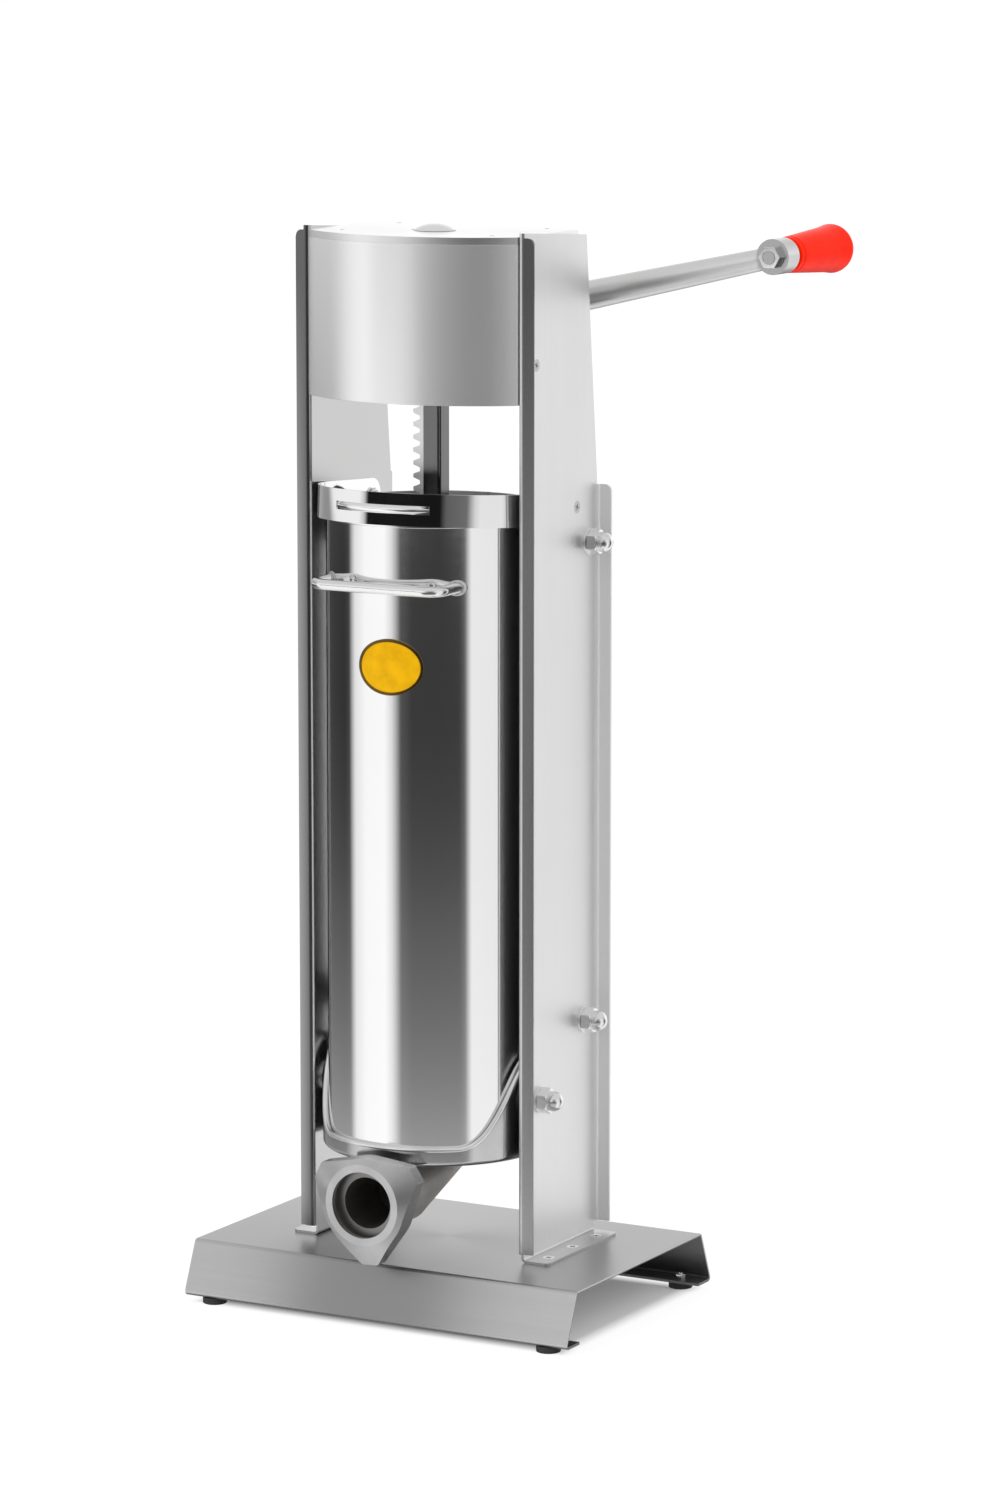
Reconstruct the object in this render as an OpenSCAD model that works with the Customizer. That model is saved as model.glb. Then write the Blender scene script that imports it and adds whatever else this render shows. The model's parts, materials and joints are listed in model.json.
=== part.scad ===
// Hand cranked vertical sausage stuffer, in millimetres.
// The origin is on the table, under the axis of the meat cylinder.
// +X is to the right, +Y to the back where the crank is, and +Z up.

/* [Base] */
// Length of the base plate from left to right
base_len = 322; // [280:2:380]
// Front edge of the flat top, ahead of the cylinder axis
base_front = 80; // [70:1:110]
// Rear edge of the flat top, behind the cylinder axis
base_rear = 116; // [105:1:150]
// Height of the top face above the table
base_top = 45; // [35:1:60]
// Sheet thickness of the base
base_sheet = 2; // [1.5:0.5:3]
// How far the front and rear skirts slope outwards
base_splay = 16; // [8:1:24]
// Width of the lips turned in under the skirts
base_lip = 20; // [19:1:30]
// Height of the rubber feet
foot_h = 5; // [4.5:0.5:10]
// Radius of the rubber feet
foot_r = 9; // [7:0.5:9.5]
// Distance of a foot from the end of the base
foot_inset = 20; // [12:1:50]

/* [Columns] */
// Gap between the cradle and each column
column_clear = 2.1; // [2:0.1:3.5]
// Sheet thickness of the columns
column_sheet = 2; // [1.5:0.5:3]
// Front edge of the columns, ahead of the cylinder axis
column_front = 34; // [30:1:40]
// Rear edge of the lower part, behind the cylinder axis
column_rear = 89; // [87:1:92]
// Rear edge at the very top
column_rear_top = 67; // [63:1:75]
// Height of the column tops above the table
column_top = 798; // [700:1:803]
// How far the top edge falls towards the back
column_top_fall = 7; // [0:1:8]
// How far the rear flange rises past the cylinder mouth
shoulder_rise = 10; // [5:1:20]
// Width of the front and rear flanges
flange_w = 12; // [9:0.5:16]
// How far the free edge of a front flange lies behind its bend
flange_sweep = 2.5; // [0:0.5:4]
// Width of the flange that stands on the base
foot_flange_w = 22; // [18:1:30]

/* [Cylinder] */
// Outer radius of the meat cylinder
cylinder_r = 80; // [78:0.5:80.5]
// Wall of the meat cylinder
cylinder_wall = 1.5; // [1:0.1:2]
// How far the cylinder mouth lies below the lid of the gear housing
mouth_drop = 198; // [185:1:240]
// Height of the stiffening band round the mouth
rim_h = 9; // [6:1:14]
// Thickness of that band
rim_t = 1.2; // [0.8:0.1:1.6]
// Width of the carrying handle
handle_w = 104; // [90:1:116]
// How far the middle of its front bar stands off the cylinder
handle_stand_off = 11; // [10:1:16]
// How far the handle lies below the cylinder mouth
handle_drop = 52; // [48:1:120]
// Radius of the handle rod
handle_rod_r = 4; // [3:0.5:5]
// Width of the oval badge
badge_w = 49; // [30:1:60]
// Height of the oval badge
badge_h = 40; // [24:1:50]
// How far the middle of the badge lies below the cylinder mouth
badge_drop = 110; // [90:1:160]

/* [Cradle and outlet] */
// Wall of the cup under the cylinder
cradle_wall = 4; // [3.5:0.1:5]
// Height of the underside of the cup
cradle_bottom = 121; // [120.5:0.5:130]
// Height of the front of the cup wall
cradle_rim_z = 134; // [131:1:142]
// Thickness of the cup floor
cradle_floor = 4; // [4:0.5:5]
// How far the two ears rise over that wall
ear_rise = 62; // [56:1:74]
// Half width of an ear where it grows out of the wall
ear_half_w = 60; // [50:1:70]
// Height of the pivot bolts
pivot_z = 163; // [158:1:170]
// Place of the pivot bolts, behind the cylinder axis
pivot_y = -3; // [-5:1:5]
// Height of the axis of the spout
spout_z = 96; // [95:1:97]
// Outer radius of the spout
spout_r = 23.5; // [22:0.5:24]
// Radius of the passage through the outlet
passage_r = 19; // [14:0.5:20]
// Radius of the threaded end of the spout
spout_thread_r = 27.5; // [27:0.5:28]
// Front face of the ring nut, ahead of the cylinder axis
nut_front = 111; // [107:1:116]
// Length of the ring nut
nut_len = 18; // [16:1:20]
// Radius of the round body of the ring nut
nut_body_r = 34; // [33:0.5:36]
// Radius of the opening in the front of the ring nut
nut_bore_r = 24.5; // [22:0.5:25]
// Reach of the three lobes of the ring nut
nut_lobe_reach = 46; // [42:0.5:48]

/* [Retaining hoop] */
// Height of the hoop strap
hoop_h = 23.5; // [18:0.5:26]
// Thickness of the hoop strap
hoop_t = 2; // [1.5:0.5:2.5]
// Place of the hoop pivots, behind the cylinder axis
hoop_pivot_y = 53; // [48:1:60]
// How far the hoop pivots lie below the cylinder mouth
hoop_pivot_drop = 3.5; // [0:0.5:8]
// How far the hoop front is raised when it rests
hoop_tilt = 3.5; // [2:0.5:6]

/* [Gear housing] */
// How far the rounded front cover stands ahead of the columns
cover_bulge = 32; // [30:1:50]
// Sheet thickness of the front cover
cover_t = 1.5; // [1:0.5:2]
// Height of the gear housing
housing_h = 120; // [118:1:130]
// How far its lid lies below the column tops
lid_drop = 3; // [0:1:6]
// Thickness of the lid
lid_t = 5; // [4:0.5:6]
// Thickness of the floor
housing_plate = 2; // [1.5:0.5:3]
// Thickness of the two bearing plates
bearing_plate = 6; // [5:0.5:8]
// Front face of the front bearing plate, ahead of the cylinder axis
front_plate_y = 30; // [30:1:33]
// Rear face of the rear bearing plate, behind the cylinder axis
rear_plate_y = 58; // [56:1:60]

/* [Gears] */
// Module of the rack and its pinion
rack_module = 3; // [2.5:0.25:3]
// Teeth of the pinion that drives the rack
rack_pinion_teeth = 14; // [14:1:15]
// Module of the two reduction gears
train_module = 2.5; // [2:0.25:2.5]
// Teeth of the gear on the pinion shaft
drive_gear_teeth = 39; // [36:1:39]
// Teeth of the pinion on the crank shaft
crank_pinion_teeth = 13; // [13:1:14]
// Radius of both shafts
shaft_r = 8; // [7:0.5:9]
// Height of both shafts above the lower edge of the housing
shaft_rise = 60; // [58:1:61]

/* [Rack and piston] */
// Depth of the rack bar from front to back
rack_depth = 16; // [14:1:16]
// Right face of the rack bar, right of the cylinder axis
rack_back = 8; // [7:0.5:9]
// Tips of the rack teeth, left of the cylinder axis
rack_tip = 14.2; // [13.5:0.1:15]
// Height of the underside of the piston when it is down
piston_bottom = 130; // [129.5:0.5:134]
// Thickness of the piston disc
piston_h = 22; // [18:1:26]
// How far the piston rises past the cylinder mouth
piston_rise = 13; // [5:1:16]

/* [Crank] */
// Distance from the crank shaft to the grip
crank_len = 196; // [160:1:220]
// Angle of the arm above level when the machine stands
crank_angle = 12.5; // [0:0.5:60]
// Radius of the tapered bar of the arm at the hub
crank_rod_r = 11.5; // [8:0.25:11.75]
// Radius of that bar at the grip
crank_rod_end_r = 7.75; // [6:0.25:8.5]
// Plane of the arm, behind the cylinder axis
crank_y = 106; // [104:1:120]
// Length of the plastic grip
grip_len = 84; // [78:1:110]
// Radius of the grip at its small end
grip_r0 = 13; // [11:0.25:15]
// Radius of the grip at its large end
grip_r1 = 18; // [14:0.25:20]

/* [Straps and bolts] */
// Thickness of the straps behind the cylinder
strap_t = 3; // [2:0.5:4]
// Height of the straps behind the cylinder
strap_h = 25; // [20:1:32]
// How far the middle of the upper strap lies below the cylinder mouth
upper_strap_drop = 30.5; // [26:0.5:60]
// Place of its bolts, behind the cylinder axis
upper_bolt_y = 72; // [68:1:74]
// Height of the middle of the lower strap
lower_strap_z = 210.5; // [206:0.5:260]
// Place of its bolts, behind the cylinder axis
lower_bolt_y = 65; // [62:1:70]
// Radius of the bolts through the columns
bolt_r = 5; // [4:0.5:5]
// Width across the flats of the cap nuts
cap_nut_af = 17; // [15:0.5:17.5]
// Overall height of the cap nuts
cap_nut_h = 17.5; // [15:0.5:19]

/* [Hidden] */

$fn = 64;

// Overrun of every cut past the face that it goes through
over = 1;
// Gap between pieces that are fixed together
fit = 0.02;
// Radial gap of a shaft or pin in its bore
run = 0.05;
// Gap between pieces that slide or pass by
slide = 0.3;
// Largest turn of one facet of a sheet bend, in degrees
bend_step = 22.5;
// Radius of a sheet bend at the middle of the sheet
bend_r = 2.5;

// Machine screws: shank radius, head radius, head height, nut width and nut height
screw_r = 2;
screw_head_r = 3.8;
screw_head_h = 2;
screw_nut_af = 7;
screw_nut_h = 3.2;
stand_screw_r = 2.5;
stand_head_r = 4.6;
stand_nut_af = 8;
stand_nut_h = 4;
thread_past_nut = 1;

// Heights that follow the column tops
lid_top = column_top - lid_drop;
lid_bottom = lid_top - lid_t;
cover_bottom = lid_top - housing_h;
shaft_z = cover_bottom + shaft_rise;
cylinder_top = lid_top - mouth_drop;
shoulder_z = cylinder_top + shoulder_rise;
handle_z = cylinder_top - handle_drop;
badge_z = cylinder_top - badge_drop;
hoop_pivot_z = cylinder_top - hoop_pivot_drop;
upper_strap_z = cylinder_top - upper_strap_drop;
stroke = cylinder_top + piston_rise - piston_bottom;

// Columns and base
cradle_r = cylinder_r + slide + cradle_wall;
column_x = cradle_r + column_clear;
web_out = column_x + column_sheet;
foot_recess = 3;
foot_y = [-(base_front + base_splay) + base_lip / 2, base_rear + base_splay - base_lip / 2];
foot_x = base_len / 2 - foot_inset;
lip_top = foot_h + base_sheet;
flange_top_drop = 3.5;
flange_corner_r = 5;
foot_relief = 7;
foot_corner_r = 4;
foot_bend_rise = 8;
stand_screw_x = (web_out + column_x + foot_flange_w) / 2 + bend_r / 2;
stand_y_shares = [0.16, 0.5, 0.84];

// Straps, washers and cap nuts
strap_tab = 11;
strap_wrap = 28;
strap_r = cylinder_r + slide + strap_t / 2;
bolt_head_af = 16;
bolt_head_h = 6;
washer_r = 10;
washer_t = 1.6;
cap_hex_h = 8;
cap_dome_r = cap_nut_af / 2 - 1;
cap_thread_h = 10;
bolt_y = [upper_bolt_y, lower_bolt_y];
bolt_z = [upper_strap_z, lower_strap_z];

// Cradle
cradle_corner_r = 4;
cradle_bore_r = cylinder_r + slide;
gasket_t = 2;
gasket_w = 3.5;
cradle_floor_top = cradle_bottom + cradle_floor;
cylinder_bottom = cradle_floor_top + gasket_t;
throat_r = 22;
ear_boss_r = 16;
ear_boss_x = column_x - 1;
ear_steps = 18;
pivot_head_r = 9;
pivot_head_x = cylinder_r + 0.7;
pivot_head_h = 2.5;

// Outlet
outlet_flange_r = 40;
outlet_flange_t = 4;
outlet_gasket_t = 1;
outlet_screw_ring = 33;
outlet_flange_top = cradle_bottom - outlet_gasket_t;
outlet_flange_bottom = outlet_flange_top - outlet_flange_t;
funnel_r = 30;
funnel_end = 52;
funnel_slice = 2;
spout_thread_len = 16;
nut_lip = 4;
nut_corner_r = 3.2;
nut_corner_half = 5;
corner_steps = 6;
arc_steps = 5;
nut_turn = 3;
nut_rake = 8;
nut_face_r = 30;
tube_flange_room = 5;
spout_end = nut_front - nut_lip - tube_flange_room;

// Cylinder fittings
handle_reach = cylinder_r + handle_stand_off;
handle_bend_r = 12;
badge_t = 0.8;
badge_turn = 5;
badge_steps = 40;

// Retaining hoop
hoop_gap = 0.4;
hoop_out = column_x - hoop_gap;
hoop_rib_r = 3;
hoop_rib_turn = 53;
hoop_screw_head_r = 4.6;
hoop_nut_h = 2.7;

// Gear housing
cover_arc_r = (column_x * column_x + cover_bulge * cover_bulge) / (2 * cover_bulge);
cover_arc_y = -column_front - cover_bulge + cover_arc_r;
cover_tab_y = 2;
floor_recess = 2;
floor_bottom = cover_bottom + floor_recess;
floor_top = floor_bottom + housing_plate;
ear_t = 4;
side_screw_y = -9;
side_screw_rise = 27;
side_screw_r = 2.5;
plate_screw_x = 62;
plate_screw_len = 12;
bush_r = 11;
bush_flange_r = 14;
bush_flange_t = 2;
guide_h = 24;
guide_depth = 25;
guide_left = 22;
guide_right = 20;
guide_screw_x = [-18.2, 14.2];

// Gear teeth: pressure angle, heights in modules and the play in a mesh
press_angle = 20;
tooth_add_share = 0.8;
tooth_ded_share = 1.05;
tooth_play = 0.2;
flank_steps = 3;
rack_add = rack_module * tooth_add_share;
rack_ded = rack_module * tooth_ded_share;
rack_pitch = rack_module * PI;
pitch_x = -rack_tip + rack_add;
pinion_x = pitch_x - rack_module * rack_pinion_teeth / 2;
crank_x = pinion_x + train_module * (drive_gear_teeth + crank_pinion_teeth) / 2;
rack_pinion_w = 18;
gear_y = 14;
gear_w = 14;
crank_pinion_y = 12;
crank_pinion_w = 18;
gear_web_r = 40;
gear_hub_r = 16;
gear_web_cut = 4;
gear_hole_ring = 28;
gear_hole_r = 7;
gear_holes = 6;
key_w = 5;
key_rise = 2;
key_seat = 2.5;
clip_r = 11.5;
clip_t = 1.2;
clip_groove = 0.6;
shaft_past_plate = 2.6;
spacer_r = 11;
thrust_gap = 0.2;

// Rack and piston
boss_h = 14;
boss_r = 22;
pocket_depth = 8;
rack_bottom = piston_bottom + piston_h + boss_h - pocket_depth;
cap_gap = 0.2;
rack_top = lid_top + cap_gap;
tooth_reserve = 18;
first_space = -floor((stroke + tooth_reserve + rack_pitch / 2) / rack_pitch);
last_space = floor((rack_top - shaft_z - rack_pitch) / rack_pitch);
cap_r = 15.5;
cap_h = 5;
cap_stem_r = 4;
cap_stem_len = 15;
piston_gap = 1;
seal_gap = 0.1;
groove_h = 8;
groove_depth = 5;
seal_lip_h = 2;
piston_screw_r = 4;
piston_screw_head_r = 8;
piston_screw_len = 44;
valve_y = -44;
valve_r = 3;
valve_head_r = 7;
valve_head_h = 2;
valve_lift = 3;
cylinder_bore_r = cylinder_r - cylinder_wall;
piston_r = cylinder_bore_r - piston_gap;
rack_mid_x = (rack_back - rack_tip) / 2;

// Crank
hub_r = 17;
hub_len = 24;
tip_r = 13;
tip_len = 18;
crank_tail_r = 5;
crank_tail_len = 10;
stud_r = 5;
stud_collar_r = 10;
stud_collar_t = 3.5;
grip_nut_af = 15;
grip_nut_h = 6;
grip_gap = 0.3;
grip_bore_len = 70;
grip_steps = 10;
tip_x = crank_x + crank_len * cos(crank_angle);
tip_z = shaft_z + crank_len * sin(crank_angle);

// Plane geometry for bent sheet
function unit(v) = v / norm(v);
function left_of(v) = [-v[1], v[0]];
function turned(v, a) = [v[0] * cos(a) - v[1] * sin(a), v[0] * sin(a) + v[1] * cos(a)];

// One side of a bend: v is the corner between a and b, r the radius and d the offset to the left
function bend(a, v, b, r, d) =
    let (u0 = unit(v - a), u1 = unit(b - v))
    let (turn = atan2(u0[0] * u1[1] - u0[1] * u1[0], u0 * u1), s = turn < 0 ? -1 : 1)
    let (c = v - u0 * r * tan(abs(turn) / 2) + s * left_of(u0) * r)
    let (n = max(1, ceil(abs(turn) / bend_step)))
    [for (i = [0:n]) c - s * left_of(turned(u0, turn * i / n)) * (r - s * d)];

// One face of a sheet that follows the points p
function sheet_side(p, r, d) = concat(
    [p[0] + d * left_of(unit(p[1] - p[0]))],
    [for (i = [1:len(p) - 2]) each bend(p[i - 1], p[i], p[i + 1], r, d)],
    [p[len(p) - 1] + d * left_of(unit(p[len(p) - 1] - p[len(p) - 2]))]);

function reversed(p) = [for (i = [len(p) - 1:-1:0]) p[i]];

// Outline of a bent sheet of thickness t whose middle follows the points p
function sheet(p, t, r = bend_r) = concat(sheet_side(p, r, t / 2), reversed(sheet_side(p, r, -t / 2)));

function polar(r, a) = [r * cos(a), r * sin(a)];

// Involute of a circle, in degrees
function involute(a) = tan(a) * 180 / PI - a;

// Half angle of a gear tooth at radius r
function tooth_half(r, base_r, half) = half + involute(press_angle) - involute(acos(min(1, base_r / r)));

// Outline of a spur gear with one tooth centred on the first axis
function gear_outline(teeth, m) =
    let (pitch_r = m * teeth / 2, base_r = pitch_r * cos(press_angle))
    let (tip_r = pitch_r + m * tooth_add_share, root_r = pitch_r - m * tooth_ded_share)
    let (half = 90 / teeth - tooth_play / pitch_r * 90 / PI)
    let (low_r = max(base_r, root_r))
    let (radii = [for (i = [0:flank_steps]) low_r + (tip_r - low_r) * i / flank_steps])
    [for (k = [0:teeth - 1]) let (a = 360 * k / teeth) each concat(
        root_r < low_r ? [polar(root_r, a - tooth_half(low_r, base_r, half))] : [],
        [for (i = [0:flank_steps]) polar(radii[i], a - tooth_half(radii[i], base_r, half))],
        [for (i = [flank_steps:-1:0]) polar(radii[i], a + tooth_half(radii[i], base_r, half))],
        root_r < low_r ? [polar(root_r, a + tooth_half(low_r, base_r, half))] : [])];

// Placing helpers
module along_x(x0, x1) {
    translate([x0, 0, 0]) rotate([90, 0, 90]) linear_extrude(x1 - x0) children();
}

module along_y(y0, y1) {
    translate([0, y1, 0]) rotate([90, 0, 0]) linear_extrude(y1 - y0) children();
}

module rod_x(r, x0, x1) {
    translate([x0, 0, 0]) rotate([0, 90, 0]) cylinder(h = x1 - x0, r = r);
}

module rod_y(r, y0, y1) {
    translate([0, y0, 0]) rotate([-90, 0, 0]) cylinder(h = y1 - y0, r = r);
}

module rod_z(r, z0, z1) {
    translate([0, 0, z0]) cylinder(h = z1 - z0, r = r);
}

module cone_x(r0, r1, x0, x1) {
    translate([x0, 0, 0]) rotate([0, 90, 0]) cylinder(h = x1 - x0, r1 = r0, r2 = r1);
}

module cone_y(r0, r1, y0, y1) {
    translate([0, y0, 0]) rotate([-90, 0, 0]) cylinder(h = y1 - y0, r1 = r0, r2 = r1);
}

module cone_z(r0, r1, z0, z1) {
    translate([0, 0, z0]) cylinder(h = z1 - z0, r1 = r0, r2 = r1);
}

module hex_x(af, x0, x1) {
    translate([x0, 0, 0]) rotate([0, 90, 0]) cylinder(h = x1 - x0, r = af / sqrt(3), $fn = 6);
}

module hex_y(af, y0, y1) {
    translate([0, y0, 0]) rotate([-90, 0, 0]) cylinder(h = y1 - y0, r = af / sqrt(3), $fn = 6);
}

module hex_z(af, z0, z1) {
    translate([0, 0, z0]) cylinder(h = z1 - z0, r = af / sqrt(3), $fn = 6);
}

module slab(x0, x1, y0, y1, z0, z1) {
    translate([x0, y0, z0]) cube([x1 - x0, y1 - y0, z1 - z0]);
}

module both_sides() {
    children();
    mirror([1, 0, 0]) children();
}

// What rounds an outer corner of radius r: drawn at the arc's centre, towards +X and +Y
module corner_waste(r) {
    difference() {
        square(r + over);
        circle(r);
    }
}

// Places shared by screws and the holes that they go through
module at_feet() {
    for (x = [-foot_x, foot_x]) for (y = foot_y) translate([x, y, 0]) children();
}

module at_stand_screws() {
    foot_y0 = -column_front + foot_relief;
    foot_span = column_rear - foot_relief - foot_y0;
    both_sides() for (share = stand_y_shares)
        translate([stand_screw_x, foot_y0 + share * foot_span, 0]) children();
}

module at_strap_bolts() {
    both_sides() for (i = [0:1]) translate([0, bolt_y[i], bolt_z[i]]) children();
}

module at_pivots() {
    both_sides() translate([0, pivot_y, pivot_z]) children();
}

module at_side_screws() {
    both_sides() translate([0, side_screw_y, cover_bottom + side_screw_rise]) children();
}

module at_hoop_pivot() {
    translate([0, hoop_pivot_y, hoop_pivot_z]) children();
}

module at_outlet_screws() {
    for (a = [45:90:315]) rotate(a) translate([outlet_screw_ring, 0, 0]) children();
}

module at_plate_screws() {
    both_sides() for (y = [-front_plate_y + bearing_plate / 2, rear_plate_y - bearing_plate / 2])
        translate([plate_screw_x, y, 0]) children();
    for (x = guide_screw_x) translate([x, 0, 0]) children();
}

// Base
module base_plate() {
    lip_z = foot_h + base_sheet / 2;
    top_z = base_top - base_sheet / 2;
    front = -(base_front + base_splay);
    rear = base_rear + base_splay;
    path = [[front + base_lip, lip_z], [front, lip_z], [-base_front, top_z],
        [base_rear, top_z], [rear, lip_z], [rear - base_lip, lip_z]];
    color("silver") difference() {
        along_x(-base_len / 2, base_len / 2) polygon(sheet(path, base_sheet));
        at_feet() rod_z(screw_r + fit, foot_h - over, lip_top + over);
        at_stand_screws() rod_z(stand_screw_r + fit, base_top - base_sheet - over, base_top + over);
    }
}

module rubber_feet() {
    color("dimgray") at_feet() difference() {
        rod_z(foot_r, 0, foot_h);
        rod_z(screw_head_r + slide, -over, foot_recess);
        rod_z(screw_r + fit, 0, foot_h + over);
    }
}

module foot_screws() {
    color("lightgray") at_feet() {
        rod_z(screw_head_r, foot_recess - screw_head_h, foot_recess);
        rod_z(screw_r, foot_recess - screw_head_h / 2, lip_top + screw_nut_h + thread_past_nut);
    }
}

module foot_nuts() {
    color("lightgray") at_feet() difference() {
        hex_z(screw_nut_af, lip_top, lip_top + screw_nut_h);
        rod_z(screw_r + fit, lip_top - over, lip_top + screw_nut_h + over);
    }
}

// Columns
module column_section() {
    x = column_x + column_sheet / 2;
    front = -column_front + column_sheet / 2;
    rear = column_rear - column_sheet / 2;
    polygon(sheet([[column_x + flange_w, front + flange_sweep], [x, front], [x, rear],
        [column_x + flange_w, rear]], column_sheet));
}

module column_side_outline() {
    slant_y = column_rear - column_sheet - bend_r;
    polygon([[-column_front - over, base_top], [column_rear + over, base_top],
        [column_rear + over, shoulder_z], [slant_y, shoulder_z],
        [column_rear_top, column_top - column_top_fall], [-column_front - over, column_top]]);
}

module column_foot() {
    x = column_x + column_sheet / 2;
    z = base_top + column_sheet / 2;
    path = [[x, base_top + foot_bend_rise + bend_r], [x, z], [column_x + foot_flange_w, z]];
    along_y(-column_front + foot_relief, column_rear - foot_relief) polygon(sheet(path, column_sheet));
}

// Takes the outer top corner off a flange whose top is at z
module flange_corner(z, y0, y1) {
    translate([column_x + flange_w - flange_corner_r, 0, z - flange_corner_r])
        along_y(y0, y1) corner_waste(flange_corner_r);
}

module column() {
    front_top = column_top - flange_top_drop;
    flange_x = web_out + bend_r;
    foot_end = [column_x + foot_flange_w - foot_corner_r, column_rear - foot_relief - foot_corner_r];
    difference() {
        union() {
            intersection() {
                translate([0, 0, base_top + foot_bend_rise])
                    linear_extrude(column_top - base_top - foot_bend_rise + over) column_section();
                along_x(column_x - over, column_x + flange_w + over) column_side_outline();
            }
            column_foot();
        }
        slab(flange_x, column_x + flange_w + over, -column_front - over, -column_front + flange_w,
            front_top, column_top + over);
        flange_corner(front_top, -column_front - over, -column_front + flange_w);
        flange_corner(shoulder_z, column_rear - flange_w, column_rear + over);
        translate([foot_end[0], foot_end[1], base_top - over])
            linear_extrude(column_sheet + 2 * over) corner_waste(foot_corner_r);
        translate([foot_end[0], -column_front + foot_relief + foot_corner_r, base_top - over])
            linear_extrude(column_sheet + 2 * over) mirror([0, 1]) corner_waste(foot_corner_r);
        at_stand_screws() cone_z(stand_screw_r + fit, stand_head_r + fit, base_top,
            base_top + column_sheet);
        at_strap_bolts() rod_x(bolt_r + fit, column_x - over, web_out + over);
        at_pivots() rod_x(bolt_r + fit, column_x - over, web_out + over);
        at_side_screws() cone_x(side_screw_r + fit, stand_head_r + fit, column_x, web_out);
        at_hoop_pivot() both_sides() cone_x(stand_screw_r + fit, hoop_screw_head_r + fit, column_x, web_out);
    }
}

module right_column() {
    color("silver") column();
}

module left_column() {
    color("silver") mirror([1, 0, 0]) column();
}

module column_screws() {
    color("gainsboro") at_stand_screws() {
        cone_z(stand_screw_r, stand_head_r, base_top, base_top + column_sheet);
        rod_z(stand_screw_r, base_top - base_sheet - stand_nut_h - thread_past_nut, base_top + fit);
    }
}

module column_nuts() {
    top = base_top - base_sheet;
    color("lightgray") at_stand_screws() difference() {
        hex_z(stand_nut_af, top - stand_nut_h, top);
        rod_z(stand_screw_r + fit, top - stand_nut_h - over, top + over);
    }
}

// Straps that the cylinder leans against, and the bolts through the columns
module back_strap(y, z) {
    x = column_x - strap_t / 2;
    arc = [for (a = [90 - strap_wrap:4:90 + strap_wrap]) polar(strap_r, a)];
    path = concat([[x, y - strap_tab], [x, y + strap_tab]], arc, [[-x, y + strap_tab], [-x, y - strap_tab]]);
    difference() {
        translate([0, 0, z - strap_h / 2]) linear_extrude(strap_h) polygon(sheet(path, strap_t));
        translate([0, y, z]) both_sides() rod_x(bolt_r + fit, column_x - strap_t - over, column_x + over);
    }
}

module upper_back_strap() {
    color("silver") back_strap(upper_bolt_y, upper_strap_z);
}

module lower_back_strap() {
    color("silver") back_strap(lower_bolt_y, lower_strap_z);
}

module strap_bolts() {
    seat = column_x - strap_t;
    color("lightgray") at_strap_bolts() {
        hex_x(bolt_head_af, seat - bolt_head_h, seat);
        rod_x(bolt_r, seat - over, web_out + washer_t + cap_thread_h);
    }
}

module bolt_washer() {
    difference() {
        rod_x(washer_r, web_out, web_out + washer_t);
        rod_x(bolt_r + fit, web_out - over, web_out + washer_t + over);
    }
}

module bolt_washers() {
    color("whitesmoke") at_strap_bolts() bolt_washer();
    color("whitesmoke") at_pivots() bolt_washer();
}

module cap_nut() {
    x0 = web_out + washer_t;
    dome_x = x0 + cap_nut_h - cap_dome_r;
    difference() {
        union() {
            intersection() {
                hex_x(cap_nut_af, x0, x0 + cap_hex_h);
                cone_x(cap_nut_af / 2 + cap_hex_h, cap_nut_af / 2, x0, x0 + cap_hex_h + over / 4);
            }
            rod_x(cap_dome_r, x0 + over, dome_x);
            translate([dome_x, 0, 0]) sphere(cap_dome_r);
        }
        rod_x(bolt_r + fit, x0 - over, x0 + cap_thread_h + over);
    }
}

module cap_nuts() {
    color("white") at_strap_bolts() cap_nut();
    color("white") at_pivots() cap_nut();
}

module pivot_bolts() {
    color("lightgray") at_pivots() {
        rod_x(pivot_head_r, pivot_head_x, pivot_head_x + pivot_head_h);
        rod_x(bolt_r, pivot_head_x + pivot_head_h / 2, web_out + washer_t + cap_thread_h);
    }
}

// Cradle
// Height of the cradle wall over its front part at y
function ear_height(y) = abs(y) < ear_half_w ? ear_rise * (1 + cos(180 * y / ear_half_w)) / 2 : 0;

module cradle_side_outline() {
    low = cradle_bottom - over;
    polygon(concat([[-cradle_r - over, low], [-cradle_r - over, cradle_rim_z]],
        [for (i = [-ear_steps:ear_steps]) let (y = ear_half_w * i / ear_steps)
            [y + pivot_y, cradle_rim_z + ear_height(y)]],
        [[cradle_r + over, cradle_rim_z], [cradle_r + over, low]]));
}

module cradle_cup() {
    top = cradle_rim_z + ear_rise + over;
    corner = [cradle_r - cradle_corner_r, cradle_bottom + cradle_corner_r];
    rotate_extrude() polygon(concat([[0, cradle_bottom]],
        [for (a = [-90:15:0]) corner + polar(cradle_corner_r, a)], [[cradle_r, top], [0, top]]));
}

module cradle() {
    color("lightgray") difference() {
        union() {
            intersection() {
                cradle_cup();
                along_x(-cradle_r - over, cradle_r + over) cradle_side_outline();
            }
            at_pivots() rod_x(ear_boss_r, cylinder_r - over, ear_boss_x);
        }
        rod_z(cradle_bore_r, cradle_floor_top, cradle_rim_z + ear_rise + 2 * over);
        rod_z(throat_r, cradle_bottom - over, cradle_floor_top + over);
        at_outlet_screws() rod_z(screw_r + fit, cradle_bottom - over, cradle_floor_top);
        at_outlet_screws() cone_z(screw_r + fit, screw_head_r + fit,
            cradle_floor_top - screw_head_h, cradle_floor_top);
        at_pivots() rod_x(pivot_head_r + slide, 0, pivot_head_x + pivot_head_h);
        at_pivots() rod_x(bolt_r + fit, 0, column_x);
    }
}

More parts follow.
